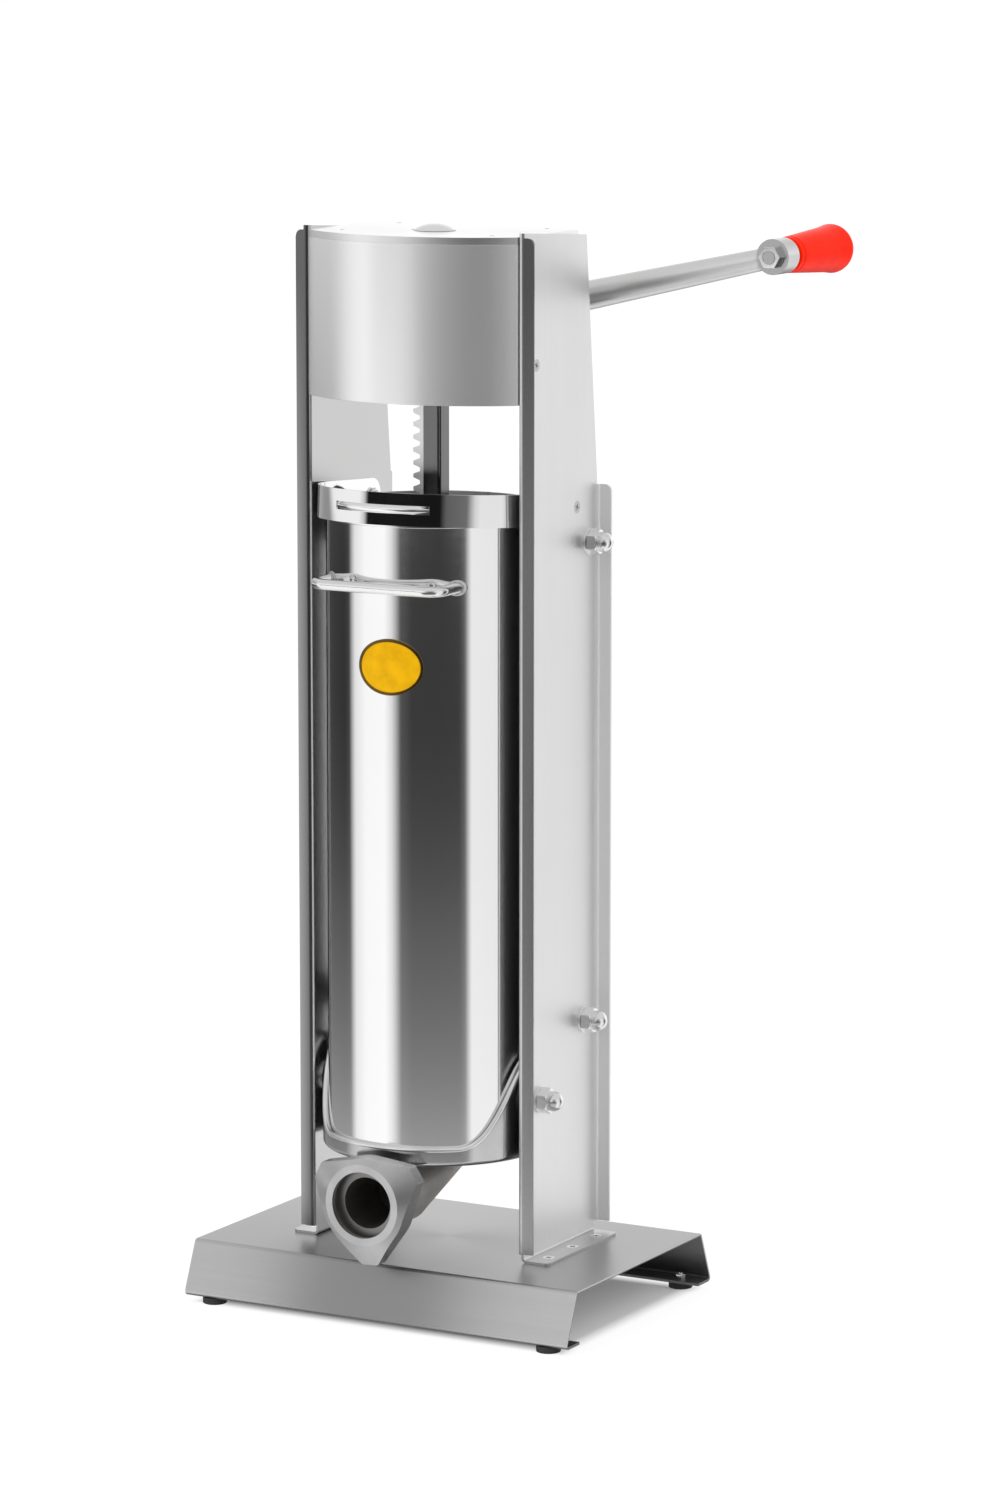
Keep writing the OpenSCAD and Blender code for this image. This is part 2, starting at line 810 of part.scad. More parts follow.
module cylinder_gasket() {
    color("white") difference() {
        rod_z(cylinder_r, cradle_floor_top, cylinder_bottom);
        rod_z(cylinder_r - gasket_w, cradle_floor_top - over, cylinder_bottom + over);
    }
}

// Outlet and its ring nut
// A slanting tube between a level disc and the upright end of the spout
module funnel(top_r, end_r, reach) {
    hull() {
        translate([0, 0, outlet_flange_bottom]) cylinder(h = reach, r = top_r, $fn = 40);
        translate([0, -funnel_end, spout_z]) rotate([90, 0, 0]) cylinder(h = reach, r = end_r, $fn = 40);
    }
}

module outlet_elbow() {
    color("gray") difference() {
        union() {
            rod_z(outlet_flange_r, outlet_flange_bottom, outlet_flange_top);
            funnel(funnel_r, spout_r, funnel_slice);
            translate([0, 0, spout_z]) rod_y(spout_r, -spout_end, -funnel_end);
            translate([0, 0, spout_z]) rod_y(spout_thread_r, -spout_end, spout_thread_len - spout_end);
        }
        funnel(passage_r, passage_r, funnel_slice);
        translate([0, 0, spout_z]) rod_y(passage_r, -spout_end - over, -funnel_end);
        rod_z(passage_r, outlet_flange_bottom, outlet_flange_top + over);
        at_outlet_screws() rod_z(screw_r + fit, outlet_flange_bottom - funnel_slice, outlet_flange_top + over);
    }
}

module outlet_gasket() {
    color("white") difference() {
        rod_z(outlet_flange_r, outlet_flange_top, cradle_bottom);
        rod_z(throat_r, outlet_flange_top - over, cradle_bottom + over);
        at_outlet_screws() rod_z(screw_r + fit, outlet_flange_top - over, cradle_bottom + over);
    }
}

module outlet_screws() {
    color("lightgray") at_outlet_screws() {
        cone_z(screw_r, screw_head_r, cradle_floor_top - screw_head_h, cradle_floor_top);
        rod_z(screw_r, outlet_flange_bottom, cradle_floor_top - screw_head_h + fit);
    }
}

// Three blunt lobes joined by straight flanks to the arcs of a round body
module nut_outline() {
    corner = [nut_lobe_reach - nut_corner_r, nut_corner_half];
    low_corner = [corner[0], -corner[1]];
    spread = atan2(corner[1], corner[0]) + acos((nut_body_r - nut_corner_r) / norm(corner));
    polygon([for (a = [30, 150, 270]) each concat(
        [for (i = [0:corner_steps])
            turned(low_corner, a) + polar(nut_corner_r, a - spread + spread * i / corner_steps)],
        [for (i = [0:corner_steps])
            turned(corner, a) + polar(nut_corner_r, a + spread * i / corner_steps)],
        [for (i = [0:arc_steps]) polar(nut_body_r, a + spread + (120 - 2 * spread) * i / arc_steps)])]);
}

module spout_ring_nut() {
    rear = nut_len - nut_front;
    rim = nut_lobe_reach + over;
    lobe_front = nut_rake * (rim - nut_face_r) / (nut_lobe_reach - nut_face_r) - nut_front;
    color("gainsboro") translate([0, 0, spout_z]) difference() {
        intersection() {
            along_y(-nut_front - over, rear) rotate(nut_turn) nut_outline();
            union() {
                cone_y(nut_face_r, rim, -nut_front, lobe_front);
                rod_y(rim, lobe_front, rear + over);
            }
        }
        rod_y(nut_bore_r, -nut_front - over, rear);
        rod_y(spout_thread_r + run, nut_lip - nut_front, rear + over);
    }
}

// Cylinder
module meat_cylinder() {
    color("white") difference() {
        rod_z(cylinder_r, cylinder_bottom, cylinder_top);
        rod_z(cylinder_bore_r, cylinder_bottom - over, cylinder_top + over);
    }
}

module cylinder_rim() {
    color("white") difference() {
        rod_z(cylinder_r + rim_t, cylinder_top - rim_h, cylinder_top);
        rod_z(cylinder_r + fit, cylinder_top - rim_h - over, cylinder_top + over);
    }
}

module cylinder_handle() {
    half = handle_w / 2;
    corner = [half - handle_bend_r, -handle_reach + handle_bend_r];
    color("lightgray") translate([0, 0, handle_z]) difference() {
        union() {
            translate([0, -handle_reach, 0]) rod_x(handle_rod_r, -corner[0], corner[0]);
            both_sides() {
                translate([corner[0], corner[1], 0]) rotate(-90)
                    rotate_extrude(angle = 90) translate([handle_bend_r, 0]) circle(handle_rod_r);
                translate([half, 0, 0]) rod_y(handle_rod_r, corner[1], -cylinder_r / 2);
            }
        }
        rod_z(cylinder_r + fit, -handle_rod_r - over, handle_rod_r + over);
    }
}

module badge_plate() {
    color("goldenrod") rotate(badge_turn) intersection() {
        translate([0, 0, badge_z]) along_y(-cylinder_r - over - badge_t, 0)
            polygon([for (i = [0:badge_steps - 1]) let (a = 360 * i / badge_steps)
                [badge_w / 2 * cos(a), badge_h / 2 * sin(a)]]);
        difference() {
            rod_z(cylinder_r + badge_t, badge_z - badge_h, badge_z + badge_h);
            rod_z(cylinder_r + fit, badge_z - badge_h - over, badge_z + badge_h + over);
        }
    }
}

// Retaining hoop, drawn level and then tilted about its pivots
module hoop_strap() {
    difference() {
        linear_extrude(hoop_h) difference() {
            union() {
                intersection() {
                    circle(hoop_out);
                    translate([-hoop_out, -hoop_out]) square([2 * hoop_out, hoop_out]);
                }
                translate([-hoop_out, 0]) square([2 * hoop_out, hoop_pivot_y + hoop_h / 2]);
            }
            circle(hoop_out - hoop_t);
            translate([-hoop_out + hoop_t, 0])
                square([2 * (hoop_out - hoop_t), hoop_pivot_y + hoop_h / 2 + over]);
        }
        translate([0, hoop_pivot_y, hoop_h / 2]) {
            along_x(-hoop_out - over, hoop_out + over) difference() {
                translate([0, -hoop_h / 2 - over]) square([hoop_h / 2 + over, hoop_h + 2 * over]);
                circle(hoop_h / 2);
            }
            rod_x(stand_screw_r + run, -hoop_out - over, hoop_out + over);
        }
    }
}

module retaining_hoop() {
    color("whitesmoke") at_hoop_pivot() rotate([-hoop_tilt, 0, 0])
        translate([0, -hoop_pivot_y, -hoop_h / 2]) {
            hoop_strap();
            translate([0, 0, hoop_h / 2]) rotate(270 - hoop_rib_turn / 2)
                rotate_extrude(angle = hoop_rib_turn) polygon(concat(
                    [[hoop_out - hoop_t / 2, -hoop_rib_r]],
                    [for (a = [-90:15:90]) [hoop_out, 0] + polar(hoop_rib_r, a)],
                    [[hoop_out - hoop_t / 2, hoop_rib_r]]));
        }
}

module hoop_screws() {
    inner = hoop_out - hoop_t - hoop_gap - hoop_nut_h - thread_past_nut;
    color("gainsboro") at_hoop_pivot() both_sides() {
        cone_x(stand_screw_r, hoop_screw_head_r, column_x, web_out);
        rod_x(stand_screw_r, inner, column_x + fit);
    }
}

module hoop_nuts() {
    outer = hoop_out - hoop_t - hoop_gap;
    color("lightgray") at_hoop_pivot() both_sides() difference() {
        hex_x(stand_nut_af, outer - hoop_nut_h, outer);
        rod_x(stand_screw_r + fit, outer - hoop_nut_h - over, outer + over);
    }
}

// Gear housing
// Plan of the housing, inset from the outside of the cover, as far back as rear
module housing_plan(inset, rear) {
    half = column_x - inset;
    square_front = -column_front - cover_bulge - over;
    intersection() {
        translate([0, cover_arc_y]) circle(cover_arc_r - inset, $fn = 200);
        translate([-half, square_front]) square([2 * half, over - square_front - column_front]);
    }
    translate([-half, -column_front]) square([2 * half, rear + column_front]);
}

module rack_opening(gap) {
    translate([-rack_tip - gap, -rack_depth / 2 - gap])
        square([rack_tip + rack_back + 2 * gap, rack_depth + 2 * gap]);
}

module gearbox_cover() {
    color("silver") difference() {
        translate([0, 0, cover_bottom]) linear_extrude(lid_bottom - cover_bottom) difference() {
            housing_plan(0, cover_tab_y);
            housing_plan(cover_t, cover_tab_y + over);
        }
        at_side_screws() rod_x(side_screw_r + fit, column_x - cover_t - over, column_x + over);
    }
}

module gearbox_lid() {
    color("gainsboro") difference() {
        translate([0, 0, lid_bottom]) linear_extrude(lid_t) difference() {
            housing_plan(fit, rear_plate_y);
            rack_opening(slide);
        }
        at_plate_screws() rod_z(screw_r + fit, lid_bottom - over, lid_top);
        at_plate_screws() cone_z(screw_r + fit, screw_head_r + fit, lid_top - screw_head_h, lid_top);
    }
}

module gearbox_floor() {
    color("silver") difference() {
        translate([0, 0, floor_bottom]) linear_extrude(housing_plate) difference() {
            housing_plan(cover_t + fit, rear_plate_y);
            rack_opening(slide);
        }
        at_plate_screws() cone_z(screw_head_r + fit, screw_r + fit, floor_bottom, floor_top);
    }
}

module bush_holes(y0, y1) {
    for (x = [pinion_x, crank_x]) translate([x, 0, shaft_z]) rod_y(bush_r + fit, y0 - over, y1 + over);
}

module plate_screw_holes() {
    at_plate_screws() {
        rod_z(screw_r + fit, floor_top - over, floor_top + plate_screw_len);
        rod_z(screw_r + fit, lid_bottom - plate_screw_len, lid_bottom + over);
    }
}

module front_bearing_plate() {
    half = column_x - cover_t;
    y0 = -front_plate_y;
    color("darkgray") difference() {
        union() {
            slab(-half, half, y0, y0 + bearing_plate, floor_top, lid_bottom);
            both_sides() slab(half - ear_t, half, y0, cover_tab_y, floor_top, lid_bottom);
        }
        bush_holes(y0, y0 + bearing_plate);
        plate_screw_holes();
        at_side_screws() rod_x(side_screw_r + fit, half - ear_t - over, half + over);
    }
}

module rear_bearing_plate() {
    half = column_x - fit;
    y1 = rear_plate_y;
    color("darkgray") difference() {
        slab(-half, half, y1 - bearing_plate, y1, floor_top, lid_bottom);
        bush_holes(y1 - bearing_plate, y1);
        plate_screw_holes();
    }
}

module gearbox_screws() {
    color("gainsboro") at_side_screws() {
        cone_x(side_screw_r, stand_head_r, column_x, web_out);
        rod_x(side_screw_r, column_x - cover_t - ear_t, column_x + fit);
    }
}

module housing_plate_screws() {
    len = plate_screw_len - over;
    color("lightgray") at_plate_screws() {
        cone_z(screw_r, screw_head_r, lid_top - screw_head_h, lid_top);
        rod_z(screw_r, lid_bottom - len, lid_top - screw_head_h + fit);
        cone_z(screw_head_r, screw_r, floor_bottom, floor_top);
        rod_z(screw_r, floor_top - fit, floor_top + len);
    }
}

module bush(y0, y1, flange_y) {
    difference() {
        union() {
            rod_y(bush_r, y0, y1);
            rod_y(bush_flange_r, flange_y, flange_y + bush_flange_t);
        }
        rod_y(shaft_r + run, y0 - over - bush_flange_t, y1 + over + bush_flange_t);
    }
}

module shaft_bushes() {
    front = bearing_plate - front_plate_y;
    rear = rear_plate_y - bearing_plate;
    color("peru") for (x = [pinion_x, crank_x]) translate([x, 0, shaft_z]) {
        bush(-front_plate_y, front, front);
        bush(rear, rear_plate_y, rear - bush_flange_t);
    }
}

module rack_guide(z0) {
    difference() {
        slab(-guide_left, guide_right, -guide_depth / 2, guide_depth / 2, z0, z0 + guide_h);
        translate([0, 0, z0 - over]) linear_extrude(guide_h + 2 * over) rack_opening(2 * run);
        plate_screw_holes();
    }
}

module lower_rack_guide() {
    color("burlywood") rack_guide(floor_top);
}

module upper_rack_guide() {
    color("burlywood") rack_guide(lid_bottom - guide_h);
}

// Shafts and gears
module at_pinion_shaft() {
    translate([pinion_x, 0, shaft_z]) children();
}

module at_crank_shaft() {
    translate([crank_x, 0, shaft_z]) children();
}

// A key that lies half in the shaft and half in its wheel
module key_bar(y0, y1, gap = 0) {
    slab(-key_w / 2 - gap, key_w / 2 + gap, y0 - gap, y1 + gap,
        shaft_r - key_seat - gap, shaft_r + key_rise + gap);
}

module key_way(y0, y1) {
    key_bar(y0 - over, y1 + over, fit);
}

function clip_place() = [-front_plate_y - clip_t - thrust_gap, rear_plate_y + thrust_gap];

module shaft_body(y0, y1) {
    difference() {
        rod_y(shaft_r, y0, y1);
        for (y = clip_place()) difference() {
            rod_y(shaft_r + over, y - fit, y + clip_t + fit);
            rod_y(shaft_r - clip_groove, y - over, y + clip_t + over);
        }
    }
}

module shaft_clip(y) {
    difference() {
        rod_y(clip_r, y, y + clip_t);
        rod_y(shaft_r - clip_groove + fit, y - over, y + clip_t + over);
    }
}

module shaft_spacer(y0, y1) {
    difference() {
        rod_y(spacer_r, y0, y1);
        rod_y(shaft_r + fit, y0 - over, y1 + over);
    }
}

module toothed_wheel(teeth, m, y0, width) {
    along_y(y0, y0 + width) polygon(gear_outline(teeth, m));
}

pinion_key = [-rack_pinion_w / 2, gear_y + gear_w];
inner_front = bearing_plate + bush_flange_t - front_plate_y + thrust_gap;
inner_rear = rear_plate_y - bearing_plate - bush_flange_t - thrust_gap;
hub_y = [crank_y - hub_len / 2, crank_y + hub_len / 2];

module pinion_shaft() {
    color("silver") at_pinion_shaft() difference() {
        shaft_body(-front_plate_y - shaft_past_plate, rear_plate_y + shaft_past_plate);
        key_bar(pinion_key[0], pinion_key[1], fit);
    }
}

module pinion_shaft_key() {
    color("dimgray") at_pinion_shaft() key_bar(pinion_key[0], pinion_key[1]);
}

module rack_pinion() {
    color("lightgray") at_pinion_shaft() difference() {
        toothed_wheel(rack_pinion_teeth, rack_module, -rack_pinion_w / 2, rack_pinion_w);
        rod_y(shaft_r + fit, -rack_pinion_w, rack_pinion_w);
        key_way(-rack_pinion_w / 2, rack_pinion_w / 2);
    }
}

module drive_gear() {
    y1 = gear_y + gear_w;
    color("lightgray") at_pinion_shaft() difference() {
        toothed_wheel(drive_gear_teeth, train_module, gear_y, gear_w);
        rod_y(shaft_r + fit, gear_y - over, y1 + over);
        key_way(gear_y, y1);
        for (y = [[gear_y - over, gear_y + gear_web_cut], [y1 - gear_web_cut, y1 + over]]) difference() {
            rod_y(gear_web_r, y[0], y[1]);
            rod_y(gear_hub_r, y[0] - over, y[1] + over);
        }
        for (k = [0:gear_holes - 1]) rotate([0, (k + 1 / 2) * 360 / gear_holes, 0])
            translate([gear_hole_ring, 0, 0]) rod_y(gear_hole_r, gear_y - over, y1 + over);
    }
}

module pinion_shaft_spacers() {
    color("darkgray") at_pinion_shaft() {
        shaft_spacer(inner_front, -rack_pinion_w / 2);
        difference() {
            shaft_spacer(rack_pinion_w / 2, gear_y);
            key_way(rack_pinion_w / 2, gear_y);
        }
        shaft_spacer(gear_y + gear_w, inner_rear);
    }
}

module pinion_shaft_clips() {
    color("dimgray") at_pinion_shaft() for (y = clip_place()) shaft_clip(y);
}

module crank_shaft() {
    color("silver") at_crank_shaft() difference() {
        union() {
            shaft_body(-front_plate_y - shaft_past_plate, hub_y[1]);
            rod_y(crank_tail_r, hub_y[1] - over, hub_y[1] + crank_tail_len);
        }
        key_bar(crank_pinion_y, crank_pinion_y + crank_pinion_w, fit);
        key_bar(hub_y[0], hub_y[1] + fit, fit);
    }
}

module crank_shaft_keys() {
    color("dimgray") at_crank_shaft() {
        key_bar(crank_pinion_y, crank_pinion_y + crank_pinion_w);
        key_bar(hub_y[0], hub_y[1]);
    }
}

module crank_pinion() {
    y1 = crank_pinion_y + crank_pinion_w;
    color("lightgray") at_crank_shaft() difference() {
        rotate([0, 180 / crank_pinion_teeth * (1 - crank_pinion_teeth % 2), 0])
            toothed_wheel(crank_pinion_teeth, train_module, crank_pinion_y, crank_pinion_w);
        rod_y(shaft_r + fit, crank_pinion_y - over, y1 + over);
        key_way(crank_pinion_y, y1);
    }
}

module crank_shaft_spacers() {
    color("darkgray") at_crank_shaft() {
        shaft_spacer(inner_front, crank_pinion_y);
        shaft_spacer(crank_pinion_y + crank_pinion_w, inner_rear);
    }
}

module crank_shaft_clips() {
    color("dimgray") at_crank_shaft() for (y = clip_place()) shaft_clip(y);
}

// Crank
module crank_arm() {
    color("lightgray") difference() {
        union() {
            at_crank_shaft() rod_y(hub_r, hub_y[0], hub_y[1]);
            translate([tip_x, 0, tip_z]) rod_y(tip_r, crank_y - tip_len / 2, crank_y + tip_len / 2);
            translate([crank_x, crank_y, shaft_z]) rotate([0, -crank_angle, 0])
                cone_x(crank_rod_r, crank_rod_end_r, 0, crank_len);
        }
        at_crank_shaft() rod_y(shaft_r + fit, hub_y[0] - over, hub_y[1] + over);
        at_crank_shaft() key_way(hub_y[0], hub_y[1]);
        translate([tip_x, 0, tip_z]) rod_y(stud_r + fit, crank_y - tip_len, crank_y + tip_len);
    }
}

module crank_washer() {
    color("whitesmoke") at_crank_shaft() difference() {
        rod_y(washer_r, hub_y[1], hub_y[1] + washer_t);
        rod_y(crank_tail_r + fit, hub_y[1] - over, hub_y[1] + washer_t + over);
    }
}

module crank_cap_nut() {
    y0 = hub_y[1] + washer_t;
    dome_y = y0 + cap_nut_h - cap_dome_r;
    color("white") at_crank_shaft() difference() {
        union() {
            hex_y(cap_nut_af, y0, y0 + cap_hex_h);
            rod_y(cap_dome_r, y0 + over, dome_y);
            translate([0, dome_y, 0]) sphere(cap_dome_r);
        }
        rod_y(crank_tail_r + fit, y0 - over, y0 + crank_tail_len);
    }
}

module at_grip() {
    translate([tip_x, 0, tip_z]) children();
}

grip_y = crank_y + tip_len / 2 + stud_collar_t + grip_gap;

module grip_stud() {
    boss_y = crank_y + tip_len / 2;
    color("lightgray") at_grip() {
        rod_y(stud_r, crank_y - tip_len / 2 - grip_nut_h, grip_y + grip_bore_len - grip_gap);
        rod_y(stud_collar_r, boss_y, boss_y + stud_collar_t);
    }
}

module grip_nut() {
    y1 = crank_y - tip_len / 2;
    color("white") at_grip() difference() {
        hex_y(grip_nut_af, y1 - grip_nut_h, y1);
        rod_y(stud_r + fit, y1 - grip_nut_h - over, y1 + over);
    }
}

module crank_grip() {
    round_r = grip_r1 * 0.6;
    small_r = grip_r0 * 0.18;
    slope = (grip_r1 - grip_r0) / grip_len;
    end_c = [grip_r1 - round_r, grip_len - round_r];
    start_c = [grip_r0 - small_r, small_r];
    color("red") at_grip() translate([0, grip_y, 0]) rotate([-90, 0, 0]) difference() {
        rotate_extrude() polygon(concat([[0, 0]],
            [for (i = [0:3]) start_c + polar(small_r, -90 + 30 * i)],
            [for (i = [0:grip_steps]) end_c + polar(round_r, 90 * i / grip_steps)],
            [[0, grip_len]]));
        translate([0, 0, -over]) cylinder(h = grip_bore_len + over, r = stud_r + run);
    }
}

// Rack and piston
function rack_space(z) =
    let (wide = rack_pitch / 4 + tooth_play / 2 + rack_add * tan(press_angle))
    let (narrow = rack_pitch / 4 + tooth_play / 2 - rack_ded * tan(press_angle))
    let (root = pitch_x + rack_ded)
    [[-rack_tip, z - wide], [root, z - narrow], [root, z + narrow], [-rack_tip, z + wide]];

module rack() {
    color("silver") difference() {
        along_y(-rack_depth / 2, rack_depth / 2) polygon(concat(
            [[rack_back, rack_bottom], [-rack_tip, rack_bottom]],
            [for (k = [first_space:last_space]) each rack_space(shaft_z + k * rack_pitch)],
            [[-rack_tip, rack_top], [rack_back, rack_top]]));
        rod_z(piston_screw_r + fit, rack_bottom - over, piston_bottom + piston_screw_len + over);
        rod_z(cap_stem_r + fit, rack_top - cap_stem_len - over, rack_top + over);
    }
}

module rack_top_cap() {
    dome_r = (cap_r * cap_r + cap_h * cap_h) / (2 * cap_h);
    color("gainsboro") intersection() {
        union() {
            translate([0, 0, rack_top + cap_h - dome_r]) sphere(dome_r, $fn = 96);
            rod_z(cap_stem_r, rack_top - cap_stem_len, rack_top + over);
        }
        union() {
            rod_z(cap_r, rack_top, rack_top + cap_h);
            rod_z(cap_stem_r, rack_top - cap_stem_len, rack_top + over);
        }
    }
}

module piston_disc() {
    z0 = piston_bottom;
    z1 = piston_bottom + piston_h;
    groove_z = z0 + (piston_h - groove_h) / 2;
    color("silver") difference() {
        union() {
            rod_z(piston_r, z0, z1);
            rod_z(boss_r, z1 - over, z1 + boss_h);
        }
        difference() {
            rod_z(piston_r + over, groove_z, groove_z + groove_h);
            rod_z(piston_r - groove_depth, groove_z - over, groove_z + groove_h + over);
        }
        translate([0, 0, rack_bottom]) linear_extrude(pocket_depth + over) rack_opening(fit);
        rod_z(piston_screw_r + fit, z0 - over, z1 + boss_h);
        cone_z(piston_screw_head_r + fit, piston_screw_r + fit, z0, z0 + piston_screw_r);
        translate([0, valve_y, 0]) rod_z(valve_r + run, z0 - over, z1 + over);
        translate([0, valve_y, 0]) rod_z(valve_head_r + slide, z0 - over, z0 + valve_head_h);
    }
}

module piston_seal() {
    z0 = piston_bottom + (piston_h - groove_h) / 2;
    inner = piston_r - groove_depth + fit;
    outer = cylinder_bore_r - seal_gap;
    color("whitesmoke") rotate_extrude() polygon([[inner, z0 + fit], [piston_r, z0 + fit],
        [outer, z0 + seal_lip_h], [outer, z0 + groove_h - seal_lip_h],
        [piston_r, z0 + groove_h - fit], [inner, z0 + groove_h - fit]]);
}

module piston_screw() {
    color("lightgray") {
        cone_z(piston_screw_head_r, piston_screw_r, piston_bottom, piston_bottom + piston_screw_r);
        rod_z(piston_screw_r, piston_bottom + piston_screw_r - fit, piston_bottom + piston_screw_len);
    }
}

// The valve hangs open by its knob and lifts shut under the meat
module air_valve() {
    top = piston_bottom + piston_h;
    color("lightgray") translate([0, valve_y, 0]) {
        rod_z(valve_r, piston_bottom - valve_lift + valve_head_h / 2, top + valve_head_h);
        rod_z(valve_head_r, piston_bottom - valve_lift, piston_bottom - valve_lift + valve_head_h);
        rod_z(valve_head_r, top, top + valve_head_h);
    }
}

base_plate();
rubber_feet();
foot_screws();
foot_nuts();
left_column();
right_column();
column_screws();
column_nuts();
upper_back_strap();
lower_back_strap();
strap_bolts();
bolt_washers();
cap_nuts();
pivot_bolts();
cradle();
cylinder_gasket();
outlet_elbow();
outlet_gasket();
outlet_screws();
spout_ring_nut();
meat_cylinder();
cylinder_rim();
cylinder_handle();
badge_plate();
retaining_hoop();
hoop_screws();
hoop_nuts();
gearbox_cover();
gearbox_lid();
gearbox_floor();
front_bearing_plate();
rear_bearing_plate();
gearbox_screws();
housing_plate_screws();
shaft_bushes();
lower_rack_guide();
upper_rack_guide();
crank_shaft();
crank_pinion();
crank_shaft_keys();
crank_shaft_spacers();
crank_shaft_clips();
crank_arm();
crank_washer();
crank_cap_nut();
grip_stud();
grip_nut();
crank_grip();
pinion_shaft();
drive_gear();
rack_pinion();
pinion_shaft_key();
pinion_shaft_spacers();
pinion_shaft_clips();
rack();
rack_top_cap();
piston_disc();
piston_seal();
piston_screw();
air_valve();
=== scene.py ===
import collections
import json
import math

import bmesh
import bpy
from mathutils import Matrix, Vector

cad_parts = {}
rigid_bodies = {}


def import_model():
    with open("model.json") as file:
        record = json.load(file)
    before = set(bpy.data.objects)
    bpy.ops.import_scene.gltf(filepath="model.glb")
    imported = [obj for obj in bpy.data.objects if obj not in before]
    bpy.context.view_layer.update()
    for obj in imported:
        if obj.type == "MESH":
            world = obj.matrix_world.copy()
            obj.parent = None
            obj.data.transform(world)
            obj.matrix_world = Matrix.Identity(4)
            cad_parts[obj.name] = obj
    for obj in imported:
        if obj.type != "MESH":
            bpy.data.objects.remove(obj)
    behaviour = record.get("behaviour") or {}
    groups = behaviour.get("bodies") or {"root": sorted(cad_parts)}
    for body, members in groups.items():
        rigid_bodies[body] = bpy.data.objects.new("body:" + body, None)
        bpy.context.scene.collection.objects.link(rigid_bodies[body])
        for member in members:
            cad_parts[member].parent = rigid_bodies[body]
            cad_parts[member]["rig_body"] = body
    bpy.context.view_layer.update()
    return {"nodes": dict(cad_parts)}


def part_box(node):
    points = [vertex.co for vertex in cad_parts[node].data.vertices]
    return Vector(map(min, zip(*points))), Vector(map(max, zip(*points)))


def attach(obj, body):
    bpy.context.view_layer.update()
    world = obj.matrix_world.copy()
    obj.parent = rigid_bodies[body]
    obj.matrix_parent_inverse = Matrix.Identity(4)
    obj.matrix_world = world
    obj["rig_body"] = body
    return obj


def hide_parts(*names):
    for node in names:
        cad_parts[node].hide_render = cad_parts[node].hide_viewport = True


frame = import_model()
scene = bpy.context.scene
MM = 0.001


def span_of(node, axis):
    """Where a CAD node begins and ends along an axis, in millimetres."""
    return [round(corner["xyz".index(axis)] / MM, 2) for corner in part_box(node)]


def middle_of(node, axis):
    return round(sum(corner["xyz".index(axis)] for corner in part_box(node)) / 2 / MM, 2)


# Sizes of the CAD model that the added pieces and the finishes follow, in millimetres: read off the boxes of
# its nodes, and written out where no box gives them
SHEET = 2.0
CYLINDER_R = span_of("meat_cylinder", "x")[1]
CYLINDER_WALL = 1.5
CYLINDER_BOTTOM, CYLINDER_TOP = span_of("meat_cylinder", "z")
RIM_R = span_of("cylinder_rim", "x")[1]
RIM_BOTTOM = span_of("cylinder_rim", "z")[0]
BADGE_Z = middle_of("badge_plate", "z")
BADGE_TURN = math.radians(5)
CRADLE_R = span_of("cradle", "y")[1]
CRADLE_RIM_Z = 134.0
EAR_RISE = span_of("cradle", "z")[1] - CRADLE_RIM_Z
EAR_HALF_W = 60.0
PIVOT_Y = middle_of("pivot_bolts", "y")
HANDLE_Z = middle_of("cylinder_handle", "z")
HANDLE_ROD_R = 4.0
HANDLE_LEG_X = span_of("cylinder_handle", "x")[1] - HANDLE_ROD_R
HOOP_PIVOT = Vector((0, middle_of("hoop_screws", "y"), middle_of("hoop_screws", "z")))
HOOP_TILT = math.radians(3.5)
HOOP_R = span_of("retaining_hoop", "x")[1]
SPOUT_Z = middle_of("outlet_elbow", "z")
SPOUT_THREAD_R = 27.5
SPOUT_END = span_of("outlet_elbow", "y")[0]
PASSAGE_R = 19.0
LID_TOP = span_of("gearbox_lid", "z")[1]
COLUMN_IN = span_of("right_column", "x")[0]
COLUMN_OUT = COLUMN_IN + SHEET
COLUMN_FRONT = -34.0
FRONT_FLANGE_BACK = -29.3
BASE_TOP = span_of("base_plate", "z")[1]
FOOT_FLANGE_TOP = BASE_TOP + 3.2
BASE_MID_Y = middle_of("base_plate", "y")
BASE_FRONT = -80.0
BASE_REAR = 116.0
BEHIND_THE_AXIS = 60.0
RACK_BACK = span_of("rack", "x")[1]
RACK_ROOT = -5.9
GRIP_AXIS_X = middle_of("crank_grip", "x")


# Finishes
Place = collections.namedtuple("Place", "x y z")


class Wire:
    """An output socket of a finish that can be used in arithmetic."""

    def __init__(self, finish, socket):
        self.finish = finish
        self.socket = socket

    def math(self, operation, *values):
        return self.finish.node("ShaderNodeMath", {"operation": operation}, dict(enumerate(values)))

    def __add__(self, other):
        return self.math("ADD", self, other)

    def __sub__(self, other):
        return self.math("SUBTRACT", self, other)

    def __rsub__(self, other):
        return self.math("SUBTRACT", other, self)

    def __mul__(self, other):
        return self.math("MULTIPLY", self, other)

    def __truediv__(self, other):
        return self.math("DIVIDE", self, other)

    def __rtruediv__(self, other):
        return self.math("DIVIDE", other, self)

    def __abs__(self):
        return self.math("ABSOLUTE", self)

    __radd__ = __add__
    __rmul__ = __mul__

    def most(self, other):
        return self.math("MAXIMUM", self, other)

    def clipped(self, low, high):
        """0 below low, 1 above high and a straight line between them."""
        return self.finish.node(
            "ShaderNodeMapRange", {"clamp": True}, {"Value": self, "From Min": low, "From Max": high}
        )

    def towards(self, value, mask):
        """This value where the mask is 0, and the given one where it is 1."""
        return self + (value - self) * mask


